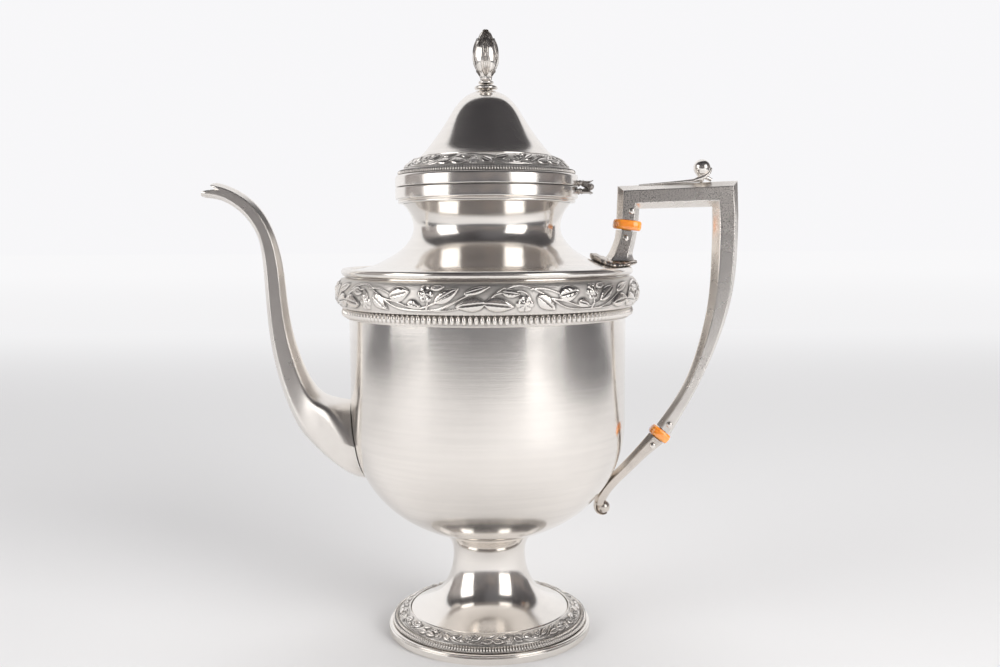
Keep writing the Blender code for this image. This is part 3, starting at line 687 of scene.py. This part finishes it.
def build_finial():
    """Flower bud: long petals with raised edges, a calyx of veined leaves, a crown of small ones."""
    columns = 360
    line = spline([(0.4, 266.6), (1.6, 265.8), (3.2, 263.4), (4.9, 260.0), (5.75, 256.6), (5.8, 253.4),
                   (5.0, 250.4), (3.5, 248.1), (2.6, 246.6)], 220)
    height = line[:, 1][:, None]
    turn = full_turn(columns)[None]

    def lobes(middle, low, high, width, blunt, raised, rib):
        """Six equal lobes round the bud, each between two heights and width degrees wide."""
        step = 2 * math.pi / 6
        side = (turn - math.radians(middle) + step / 2) % step - step / 2
        share = np.clip((height - low) / (high - low), 0, 1)
        half = math.radians(width / 2) * np.sin(math.pi * np.clip(share, 1e-3, 1 - 1e-3) ** blunt) ** 0.6
        across = np.abs(side) / half
        inside = (across < 1) & (height > low) & (height < high)
        edge = np.exp(-((across - 0.86) / 0.12) ** 2) * 0.5
        body = np.sqrt(np.clip(1 - across ** 2, 0, 1)) ** 0.7
        middle_rib = np.exp(-(across / 0.10) ** 2) * rib
        return np.where(inside, raised * (body + edge - middle_rib), 0.0)

    petals = lobes(29.0, 248.0, 263.6, 47.0, 1.0, 0.45, 0.0)
    calyx = np.maximum(lobes(-1.0, 246.6, 256.6, 46.0, 0.8, 0.75, 0.5),
                       lobes(-1.0, 247.0, 254.4, 24.0, 0.8, 0.95, 0.6))
    crown = np.maximum(lobes(29.0, 258.6, 267.2, 42.0, 1.4, 1.0, 0.6),
                       lobes(-1.0, 261.0, 267.6, 34.0, 1.4, 0.9, 0.5))
    tongues = lobes(-1.0, 255.9, 262.0, 13.0, 1.2, 0.5, 0.3)
    relief = np.maximum.reduce([petals, calyx, crown, tongues])
    normal = -normals_of(line)
    taper = smooth_step(line[:, 1], 267.0, 265.6)[:, None]
    swell = (relief - 0.35) * taper * 1.1
    radius = np.maximum(line[:, :1] + normal[:, :1] * swell, 0.05)
    rise = line[:, 1:] + normal[:, 1:] * swell
    bud = np.stack([radius * np.sin(turn), -radius * np.cos(turn), rise], axis=-1)
    fluting = 1 + 0.07 * np.cos(12 * turn)
    stalk = rounded([(2.6, 246.4), (2.35, 245.4), (2.6, 244.6), (3.5, 244.2), (3.4, 243.5), (2.5, 243.1),
                     (1.1, 243.1), (1.1, 235.4), (0.1, 235.4)], 0.4, closed=False)
    stem = turned_rings(stalk, columns)
    stem[:6, :, :2] *= np.broadcast_to(fluting[..., None], (6, columns, 1))
    rings = np.concatenate([bud, stem])
    # The bud's hollows get the same painted shade, with some tarnish.
    hollow = np.concatenate([hollows(relief, 0.26, 5), np.zeros(stem.shape[:2])]).ravel()
    hollow = np.concatenate([hollow, [0.0, 0.0]])
    add_piece("fine_finial", [skin(rings, closed=False)], CHASED, "lid", ["finial"],
              sharp=70.0, fields={"hollow": hollow, "matt": np.zeros(len(hollow))})
    turned("fine_finial_collar", rounded([
        (1.5, 240.4), (2.9, 240.4), (3.3, 240.8), (4.6, 240.7), (5.3, 241.5), (4.7, 242.5), (2.9, 242.8),
        (1.5, 242.8),
    ], 0.6, 5), BRIGHT, "lid", columns=96)


# ---------------------------------------------------------------- spout and handle


def facet_ring(centre, half, depth, sharpness, front, edge, columns, shift=0.0):
    """Points round a section between a circle and an octagon with softened corners.

    half is the (x, z) vector from the centre to the far edge and depth half the size along Y.
    front is the share of the height that the flat front takes and edge the share of the depth
    that the flat far edge takes. shift moves the flat front towards the far edge.
    """
    turn = full_turn(columns)
    a, b = np.cos(turn), np.sin(turn)
    weight = (1 - edge) / (1 - edge * front)
    slant = weight * np.abs(a) + (1 - front * weight) * np.abs(b)
    reach = (np.abs(a) ** sharpness + np.abs(b) ** sharpness + slant ** sharpness) ** (-1 / sharpness)
    a, b = a * reach, b * reach
    a = a + shift * np.abs(b) * (1 - a ** 2)
    return np.stack([centre[0] + half[0] * a, depth * b, centre[1] + half[1] * a], axis=-1)


def tube_point(far, near, depth, inset):
    """Centre, half vector and depth of a section whose faces lie inset inside its edges."""
    far, near = np.asarray(far, float), np.asarray(near, float)
    half = (far - near) / 2
    half = half * (1 - inset / np.linalg.norm(half))
    return (far + near) / 2, half, depth - inset


def build_spout():
    stations = np.array([
        (-46.0, 109.2, -32.0, 57.5, 23.5), (-56.5, 107.9, -46.5, 62.6, 22.0),
        (-63.5, 106.6, -54.5, 66.9, 19.6), (-69.0, 106.1, -61.5, 71.4, 16.6),
        (-72.9, 107.1, -69.6, 77.0, 13.4), (-75.6, 109.2, -77.3, 83.4, 10.8),
        (-78.2, 112.8, -84.2, 91.0, 8.6), (-80.9, 117.8, -89.3, 101.2, 7.0),
        (-83.4, 124.0, -93.3, 113.2, 5.8), (-86.9, 136.0, -97.2, 133.0, 4.7),
        (-88.9, 149.0, -98.6, 150.0, 4.1), (-90.2, 162.4, -99.4, 164.0, 3.8),
        (-93.3, 176.8, -101.4, 177.2, 3.7), (-97.0, 185.6, -104.2, 182.9, 3.7),
        (-102.4, 192.8, -108.0, 187.6, 3.7), (-109.3, 197.9, -112.8, 191.4, 3.7),
        (-116.3, 200.8, -118.3, 193.9, 3.6), (-121.4, 201.6, -124.9, 194.9, 3.5),
    ])
    fine, columns = 260, 160
    path = spline(stations, fine)
    share = np.linspace(0, 1, fine)
    # The root is round; along the neck the section turns into an octagon.
    sharpness = 2.0 + 24.0 * smooth_step(share, 0.10, 0.42)
    front = 0.80 - 0.24 * smooth_step(share, 0.10, 0.35)
    edge = 0.80 - 0.62 * smooth_step(share, 0.10, 0.35)

    def surface(inset):
        rings = []
        for k in range(fine):
            centre, half, depth = tube_point(path[k, :2], path[k, 2:4], path[k, 4], inset)
            rings.append(facet_ring(centre, half, depth, sharpness[k], front[k], edge[k], columns))
        return np.array(rings)

    def trimmed(rings, ends):
        """Resample every line along the spout between the bowl's surface and the notched lip."""
        result = np.empty((fine, columns, 3))
        for k in range(columns):
            line = rings[:, k]
            outside = np.hypot(line[:, 0], line[:, 1]) > bowl_radius(line[:, 2], GAP)
            first = int(np.argmax(outside[:fine // 2]))
            first = max(first, 1)
            before, after = line[first - 1], line[first]
            gaps = [np.hypot(p[0], p[1]) - bowl_radius(p[2], GAP) for p in (before, after)]
            start = first - 1 + float(np.clip(gaps[0] / (gaps[0] - gaps[1]), 0, 1))
            at = start + (ends[k] - start) * np.linspace(0, 1, fine)
            for axis in range(3):
                result[:, k, axis] = np.interp(at, np.arange(fine), line[:, axis])
        return result

    # The lip is cut to a V seen from the side, its lower half left longer and thicker.
    across = np.cos(full_turn(columns))
    notch = np.clip(1 - np.abs(across - 0.20) / 0.50, 0, 1) ** 1.3 * 7.0
    ends = fine - 2 - notch - 3.2 * smooth_step(across, -0.4, 0.9)
    outer = trimmed(surface(0.05), ends)
    inner = trimmed(surface(0.05 + 1.15), ends)
    lip = (outer[-1] + inner[-1]) / 2 + (outer[-1] - outer[-4])
    rings = np.concatenate([outer, [lip * 0.35 + outer[-1] * 0.65, lip, lip * 0.35 + inner[-1] * 0.65],
                            inner[::-1]])
    add_piece("fine_spout", [skin(rings, closed=True)], SPOUT, "pot", ["spout"],
              sharp=50.0)


def mitred(path, columns, sharpness, front, edge, inset=0.0, shift=0.0):
    """Rings through (far, near, depth) sections, whose faces lie inset inside their edges."""
    rings = []
    for (far, near, depth), move in zip(path, np.broadcast_to(shift, len(path))):
        centre, half, depth = tube_point(far, near, depth, inset)
        rings.append(facet_ring(centre, half, depth, sharpness, front, edge, columns, move))
    return np.array(rings)


def strap_tube(path, wall=WALL, shift=0.0):
    """Hollow faceted strap with crisp edges."""
    outer, inner = (mitred(path, 160, 40.0, 0.54, 0.08, inset, shift) for inset in (0.0, wall))
    return skin(np.concatenate([outer, inner[::-1]]), closed=True)


def between(first, last, count):
    """Sections evenly spaced from one to another, without the last."""
    result = []
    for t in np.arange(count) / count:
        result.append(tuple(np.asarray(a) * (1 - t) + np.asarray(b) * t for a, b in zip(first, last)))
    return result


def along_tilt(centre, tilt, distance, side=0.0):
    """Point at a distance along an axis tilted from upright towards +X, and to its right."""
    return (centre[0] + distance * math.sin(tilt) + side * math.cos(tilt),
            centre[1] + distance * math.cos(tilt) - side * math.sin(tilt))


UPPER_INSULATOR, UPPER_TILT = (61.9, 181.8), math.radians(6.3)
LOWER_INSULATOR, LOWER_TILT = (77.1, 88.3), math.radians(38.0)
HANDLE_BACK = (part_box("handle_grip")[1].x - AXIS_X) / MM + 0.35
STRAP_DEPTH = 4.0           # half of the handle's size along Y
SOCKET_GAP = 2.5            # from an insulator's middle to the handle or a socket


def build_handle():
    start = ((57.1, 184.6), (67.0, 183.5), STRAP_DEPTH)
    corner = ((57.6, 198.9), (67.4, 188.9), STRAP_DEPTH)
    back = ((110.5, 201.0), (99.3, 189.6), STRAP_DEPTH)
    outer = spline([(HANDLE_BACK, 186.0), (110.9, 172.0), (108.6, 149.5), (102.9, 130.0), (95.0, 111.6),
                    along_tilt(LOWER_INSULATOR, LOWER_TILT, SOCKET_GAP, 4.1)], 70)
    inner = spline([(99.5, 180.0), (99.3, 168.0), (98.2, 149.0), (93.8, 128.0), (87.2, 110.3),
                    along_tilt(LOWER_INSULATOR, LOWER_TILT, SOCKET_GAP, -3.7)], 70)
    depth = STRAP_DEPTH - 0.9 * np.linspace(0, 1, 70)
    leg = list(zip(outer, inner, depth))
    path = [*between(start, corner, 6), *between(corner, back, 24), *between(back, leg[0], 6), *leg]
    # Down the back the flat front lies nearer the outer edge than along the top.
    shift = np.concatenate([np.zeros(30), np.linspace(0, 0.11, 6), np.full(len(leg), 0.11)])
    add_piece("fine_handle_grip", [strap_tube(path, shift=shift)], STRAP, "pot", ["handle_grip"],
              sharp=28.0)


def insulator(name, centre, tilt, half_width, half_depth):
    """Rounded oval flange with a tongue on each side that runs into the handle and the socket."""
    turn = full_turn(72)
    thick, reach = 2.2, 7.7
    tongue = (half_width * 0.34, half_depth * 0.30)
    levels = [(-reach, *tongue), (-thick, *tongue)]
    for angle in np.linspace(-math.pi / 2, math.pi / 2, 26):
        inward = 1.7 * (1 - math.cos(angle) ** 0.45)
        along = thick * math.copysign(abs(math.sin(angle)) ** 0.8, angle)
        levels.append((along, half_width - inward, half_depth - inward))
    levels += [(thick, *tongue), (reach, *tongue)]
    rings = []
    for along, width, depth in levels:
        shape = (np.abs(np.cos(turn)) ** 2.6 + np.abs(np.sin(turn)) ** 2.6) ** (-1 / 2.6)
        x, z = along_tilt(centre, tilt, along, width * shape * np.cos(turn))
        rings.append(np.stack([x, depth * shape * np.sin(turn), z], axis=-1))
    add_piece(f"fine_{name}", [skin(np.array(rings), closed=False)], AMBER, "pot", [name],
              sharp=60.0)


def build_upper_socket():
    """Faceted foot of the handle, flared where it stands on its pad."""
    top = (*along_tilt(UPPER_INSULATOR, UPPER_TILT, -SOCKET_GAP, -4.8),
           *along_tilt(UPPER_INSULATOR, UPPER_TILT, -SOCKET_GAP, 4.8), STRAP_DEPTH)
    line = spline([
        (50.6, 166.3, 65.6, 166.2, 5.6), (53.0, 168.4, 64.6, 168.1, 4.8),
        (54.9, 172.0, 64.9, 171.4, 4.3), (56.3, 175.8, 65.7, 174.9, 4.05), top,
    ], 40)
    path = [(p[:2], p[2:4], p[4]) for p in line]
    add_piece("fine_upper_handle_socket", [strap_tube(path)], STRAP, "pot", ["upper_handle_socket"],
              sharp=28.0)
    build_upper_pad()


def build_upper_pad():
    """Leaf-shaped pad: x, half width, height of its underside at the middle, thickness there."""
    line = spline([(45.5, 0.7, 167.9, 0.9), (46.0, 1.9, 166.9, 2.2), (47.4, 3.4, 166.0, 3.3),
                   (50.0, 5.6, 164.6, 3.8), (54.5, 8.0, 162.9, 4.2), (60.0, 7.3, 162.9, 3.8),
                   (64.0, 4.4, 163.9, 2.6), (66.4, 1.0, 164.9, 0.9)], 60)
    across = np.linspace(-1, 1, 33)
    rings = []
    for x, half, bottom, thickness in line:
        edge = np.sqrt(1 - across ** 2 * 0.999)
        scallop = 1 + 0.03 * np.cos(x * 2.4)
        rib = 0.30 * np.exp(-(across / 0.12) ** 2) + 0.10 * np.cos((x + 4 * np.abs(across)) * 2.2)
        upper = bottom + 0.3 * thickness + (0.7 * thickness + rib) * edge
        lower = bottom + 0.3 * thickness - 0.3 * thickness * edge
        y = half * scallop * across
        top_side = np.stack([np.full(33, x), y, upper], axis=-1)
        under_side = np.stack([np.full(33, x), y, lower], axis=-1)[::-1]
        rings.append(np.concatenate([top_side, under_side]))
    add_piece("fine_upper_socket_pad", [skin(np.array(rings), closed=False)], AGED, "pot",
              ["upper_socket_pad"], sharp=50.0)


def build_lower_socket():
    """Faceted strap from the lower insulator to the bowl, ending in a scroll round a ball."""
    top = (*along_tilt(LOWER_INSULATOR, LOWER_TILT, -SOCKET_GAP, 4.0),
           *along_tilt(LOWER_INSULATOR, LOWER_TILT, -SOCKET_GAP, -4.0), 3.3)
    line = spline([
        top, (72.6, 78.9, 67.6, 83.1, 3.4), (66.8, 73.4, 62.4, 77.3, 3.6), (62.7, 69.4, 58.4, 73.1, 3.8),
        (59.2, 66.0, 55.0, 69.6, 3.9), (56.4, 62.9, 52.0, 65.9, 3.8), (54.4, 60.2, 49.4, 62.0, 3.4),
        (53.2, 57.9, 47.9, 58.5, 3.0), (52.2, 56.2, 47.9, 56.0, 2.5),
    ], 100)
    path = [(p[:2], p[2:4], p[4]) for p in line]
    strap = strap_tube(path, wall=0.8)
    centre = np.array((51.7, 54.9))
    curl = []
    for k in range(60):
        angle = math.radians(145 + 160 * k / 59)
        reach = 3.8 - 0.6 * k / 59
        outward = np.array((math.cos(angle), math.sin(angle)))
        thickness = 1.4 - 1.0 * k / 59
        curl.append((centre + outward * (reach + thickness / 2), centre + outward * (reach - thickness / 2),
                     2.8 - 1.3 * k / 59))
    ribbon = skin(mitred(curl, 48, 5.0, 0.75, 0.75), closed=False)
    knob = ball((centre[0], 0, centre[1]), 3.15)
    add_piece("fine_lower_handle_socket", [strap, ribbon, knob], AGED, "pot", ["lower_handle_socket"],
              sharp=28.0)


def turned_across(centre, outline, closed):
    """Body turned about a line along Y through centre (x, z), from an outline of (radius, y)."""
    turn = full_turn(32)
    rings = [np.stack([centre[0] + r * np.cos(turn), np.full(32, y), centre[1] + r * np.sin(turn)],
                      axis=-1) for r, y in outline]
    return skin(np.array(rings), closed)


def build_pins():
    """Domed rivets through the handle's ends."""
    for number in (1, 2, 3, 4):
        node = f"handle_pin_{number}"
        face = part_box(node)[1].y / MM - 0.8
        dome = [(1.4 * math.cos(a), face + 0.1 + 0.7 * math.sin(a)) for a in np.linspace(0, 1.5, 9)]
        half = [(0.8, face), (1.4, face), *dome]
        outline = [(r, -y) for r, y in reversed(half)] + half
        add_piece(f"fine_{node}", [turned_across(centre_of(node), outline, closed=False)], BRIGHT, "pot",
                  [node], sharp=50.0)


def ribbon_along(points, widths, depths, sharpness=5.0):
    """Closed solid ribbon: points (x, z), its thickness in the plane and half depth along Y."""
    line = spline(points, 60)
    along = np.gradient(line, axis=0)
    along /= np.linalg.norm(along, axis=1)[:, None]
    normal = np.stack([-along[:, 1], along[:, 0]], axis=1)
    at = np.linspace(0, 1, 60)
    width = np.interp(at, np.linspace(0, 1, len(widths)), widths)
    depth = np.interp(at, np.linspace(0, 1, len(depths)), depths)
    path = [(p + n * w / 2, p - n * w / 2, d) for p, n, w, d in zip(line, normal, width, depth)]
    return skin(mitred(path, 40, sharpness, 0.75, 0.75), closed=False)


def build_thumb_piece():
    x, z = centre_of("thumb_ball")
    radius = top_of("thumb_ball") - z + 0.45
    add_piece("fine_thumb_ball", [ball((x - 0.3, 0, z), radius, 64)], BRIGHT, "pot", ["thumb_ball"])
    strip = ribbon_along([(67.0, 199.5), (76, 200.0), (85, 200.6), (91.0, 201.1), (95.2, 201.5)],
                         (0.3, 0.6, 1.0, 1.4, 1.8), (0.5, 0.7, 0.8, 0.9, 1.2))
    right = ribbon_along([(91.2, 201.2), (93.2, 201.9), (95.9, 203.0), (97.9, 204.6), (98.8, 206.6)],
                         (1.6, 2.2, 2.2, 1.8, 0.8), (1.8, 2.3, 2.4, 2.0, 1.0))
    left = ribbon_along([(98.8, 201.3), (97.0, 202.2), (94.4, 203.3), (92.3, 203.8)],
                        (1.6, 2.0, 1.9, 0.8), (1.8, 2.2, 2.2, 1.3))
    knob = ball((94.4, 0, 201.5), 1.2, 24, squash=(1, 1.6, 1))
    add_piece("fine_thumb_scroll", [strip, right, left, knob], PLAIN, "pot", ["thumb_scroll"],
              sharp=50.0)


def build_hinge():
    """Two horned leaves, each with two knuckles and the small knobs that fix it to its rim."""
    x, z = (HINGE.x - AXIS_X) / MM, HINGE.z / MM
    half = [(0.95, 1.1), (1.25, 1.1), (1.45, 0.9)]
    knuckle = [(r, -y) for r, y in half] + half[::-1]
    for node, body, side, spread in (("hinge_lid_leaf", "lid", 1, 4.7),
                                     ("hinge_body_leaf", "pot", -1, 2.2)):
        leaf = ribbon_along([(x - 4.3, z + 2.10 * side), (x - 1.8, z + 2.15 * side),
                             (x - 0.2, z + 2.25 * side), (x + 1.0, z + 2.75 * side)],
                            (1.0, 1.1, 1.0, 0.5), (6.3, 6.4, 6.4, 6.0), 8.0)
        parts = [leaf, *(ball((x - 4.6, y, z + 1.75 * side), 1.2, 24) for y in (-5.3, 5.3))]
        web, faces = ribbon_along([(x - 1.5, z + 1.9 * side), (x - 2.3, z + 0.35 * side)], (4.6, 2.2),
                                  (1.1, 1.1), 8.0)
        for middle in (-spread, spread):
            parts.append(turned_across((x, z), [(r, middle + y) for r, y in knuckle], closed=True))
            parts.append((web + np.array((0, middle, 0)), faces))
        add_piece(f"fine_{node}", parts, DULL, body, [node], sharp=50.0)


def dress_cad_nodes():
    """The hinge pin and the hidden nut keep their CAD shape, softened along the edges."""
    for node in ("hinge_pin", "finial_nut"):
        obj = frame["nodes"][node]
        obj.data.materials.clear()
        obj.data.materials.append(DULL)
        soften = obj.modifiers.new("soften", "BEVEL")
        soften.width = 0.12 * MM
        soften.segments = 2
        soften.limit_method = "ANGLE"
        soften.angle_limit = math.radians(40)
        obj.data.shade_smooth()


# ---------------------------------------------------------------- studio


TABLE_FRONT, TABLE_LEFT, TABLE_RIGHT = -0.94, -0.90, 0.75     # metres


FLOOR_PAPER = (0.80, 0.795, 0.795, 1)
FLOOR_GLOW = (0.995, 0.99, 1.0, 1)
FLOOR_DARK = (0.10, 0.10, 0.11, 1)
SWEEP_WHITE = (0.93, 0.925, 0.935)
BACKDROP = (0.935, 0.93, 0.945)
ROOM_LOW, ROOM_HIGH = (0.15, 0.145, 0.15), (0.04, 0.038, 0.042)
ROOM_SHEEN = (0.16, 0.16, 0.17)
ROOM_LEFT = (0.50, 0.47, 0.46)
ROOM_PATCHES = (0.24, 0.21, 0.20)


def build_floor():
    """Pale floor. Beyond the table's edges it is dark in reflections, as the studio's floor is."""
    size = 12.0
    mesh = bpy.data.meshes.new("floor")
    mesh.from_pydata([(-size, -size, 0), (size, -size, 0), (size, size, 0), (-size, size, 0)], [],
                     [(0, 1, 2, 3)])
    link("floor", mesh)
    material, graph = new_material("floor")
    point = graph.add("ShaderNodeNewGeometry").outputs["Position"]
    x, y, _ = graph.split(point)
    rays = graph.add("ShaderNodeLightPath").outputs
    inside = graph.times(graph.math("GREATER_THAN", x, TABLE_LEFT),
                        graph.math("LESS_THAN", x, TABLE_RIGHT))
    inside = graph.times(inside, graph.math("GREATER_THAN", y, TABLE_FRONT))
    behind = graph.math("GREATER_THAN", y, 0.5)
    table = graph.larger(graph.larger(inside, behind), rays["Is Camera Ray"])
    paper = graph.add("ShaderNodeBsdfDiffuse", {"Color": FLOOR_PAPER})
    glow = graph.add("ShaderNodeEmission", {"Color": FLOOR_GLOW,
                                            "Strength": graph.ramp(y, 0.2, 5.0, 0.885, 0.95)})
    dark = graph.add("ShaderNodeEmission", {"Color": FLOOR_DARK})
    distance = graph.add("ShaderNodeVectorMath", {0: point}, operation="LENGTH").outputs["Value"]
    away = graph.larger(graph.ramp(y, -0.05, 1.5), graph.ramp(distance, 0.9, 2.4))
    lit = graph.add("ShaderNodeMixShader", {0: away, 1: paper.outputs[0], 2: glow.outputs[0]})
    shader = graph.add("ShaderNodeMixShader", {0: table, 1: dark.outputs[0], 2: lit.outputs[0]})
    finish_material(graph, shader)
    mesh.materials.append(material)


def build_world():
    """White sweep behind the pot and a dark room in front of it; only reflections see the room."""
    world = bpy.data.worlds.new("studio")
    bpy.context.scene.world = world
    world.use_nodes = True
    graph = Graph(world.node_tree)
    direction = graph.add("ShaderNodeTexCoord").outputs["Generated"]
    x, y, z = graph.split(direction)
    front = graph.times(y, -1.0)
    rise = graph.math("POWER", graph.larger(z, 0.0), 3.0)
    limit = graph.minus(graph.times(rise, 0.46),
                       graph.plus(graph.times(x, 0.10), 0.60))
    room = graph.ramp(graph.minus(front, limit), -0.02, 0.02)
    height = graph.ramp(z, 0.0, 0.9)
    shade = graph.mix(height, ROOM_LOW, ROOM_HIGH)
    sheen = graph.ramp(graph.plus(graph.times(front, 0.72),
                                  graph.plus(graph.times(z, 0.68),
                                             graph.times(x, 0.15))), 0.90, 1.0)
    shade = graph.mix(graph.times(sheen, 0.6), shade, ROOM_SHEEN)
    shade = graph.mix(graph.times(graph.ramp(x, -0.72, -0.92), 0.7), shade, ROOM_LEFT)
    patches = graph.ramp(graph.noise(direction, 3.2, 3.0, 0.6), 0.35, 0.70)
    shade = graph.mix(graph.times(patches, graph.ramp(z, 0.7, 0.1)), shade, ROOM_PATCHES)
    colour = graph.mix(room, SWEEP_WHITE, shade)
    camera = graph.add("ShaderNodeLightPath").outputs["Is Camera Ray"]
    colour = graph.mix(camera, colour, BACKDROP)
    background = graph.add("ShaderNodeBackground", {"Color": colour, "Strength": 1.0})
    graph.add("ShaderNodeOutputWorld", {"Surface": background.outputs[0]})


def add_softbox(name, azimuth, distance, width, low, high, power, reflected=True):
    """Upright rectangular light at an azimuth from the camera's side, facing the pot."""
    light = bpy.data.lights.new(name, "AREA")
    light.shape = "RECTANGLE"
    light.size, light.size_y = width, high - low
    light.energy = power
    light.color = (1.0, 0.995, 0.99)
    lamp = link(name, light)
    bearing = math.radians(azimuth)
    place = Vector((math.sin(bearing) * distance, -math.cos(bearing) * distance, (low + high) / 2))
    lamp.location = place
    lamp.rotation_euler = Vector((place.x, place.y, 0)).to_track_quat("Z", "Y").to_euler()
    lamp.visible_glossy = reflected


def add_fill(height, power):
    """Soft light from above that only brightens the table; it has no reflection."""
    light = bpy.data.lights.new("fill", "AREA")
    light.size = 1.4
    light.energy = power
    lamp = link("fill", light)
    lamp.location = (0.2, 0.1, height)
    lamp.visible_glossy = False


CAMERA_PLACE = (AXIS_X + 0.00573, -0.4490, 0.1763)  # metres
CAMERA_TURN = (math.radians(84.615), math.radians(0.33), 0.0)
CAMERA_LENS = 36.36         # mm, for the full width of the picture on 36 mm


def build_camera():
    data = bpy.data.cameras.new("camera")
    data.lens = CAMERA_LENS
    data.clip_start = 0.01
    camera = link("camera", data)
    camera.location = CAMERA_PLACE
    camera.rotation_euler = CAMERA_TURN
    bpy.context.scene.camera = camera


def build_studio():
    build_floor()
    build_world()
    add_softbox("left_softbox", -64.0, 1.25, 0.80, 0.05, 1.05, 4.2)
    add_softbox("right_softbox", 47.0, 1.25, 0.74, 0.07, 1.05, 4.2)
    add_softbox("left_bounce", -64.0, 1.9, 1.3, 0.02, 1.5, 11.0, reflected=False)
    add_softbox("right_bounce", 47.0, 1.9, 1.2, 0.02, 1.4, 38.0, reflected=False)
    add_fill(1.6, 9.0)
    build_camera()
    bpy.context.scene.view_settings.view_transform = "Standard"


build_bowl()
build_neck()
build_band()
build_foot()
build_lid()
build_finial()
build_spout()
build_handle()
insulator("upper_insulator", UPPER_INSULATOR, UPPER_TILT, 6.4, 5.1)
insulator("lower_insulator", LOWER_INSULATOR, LOWER_TILT, 5.0, 4.3)
build_upper_socket()
build_lower_socket()
build_pins()
build_thumb_piece()
build_hinge()
dress_cad_nodes()
build_studio()
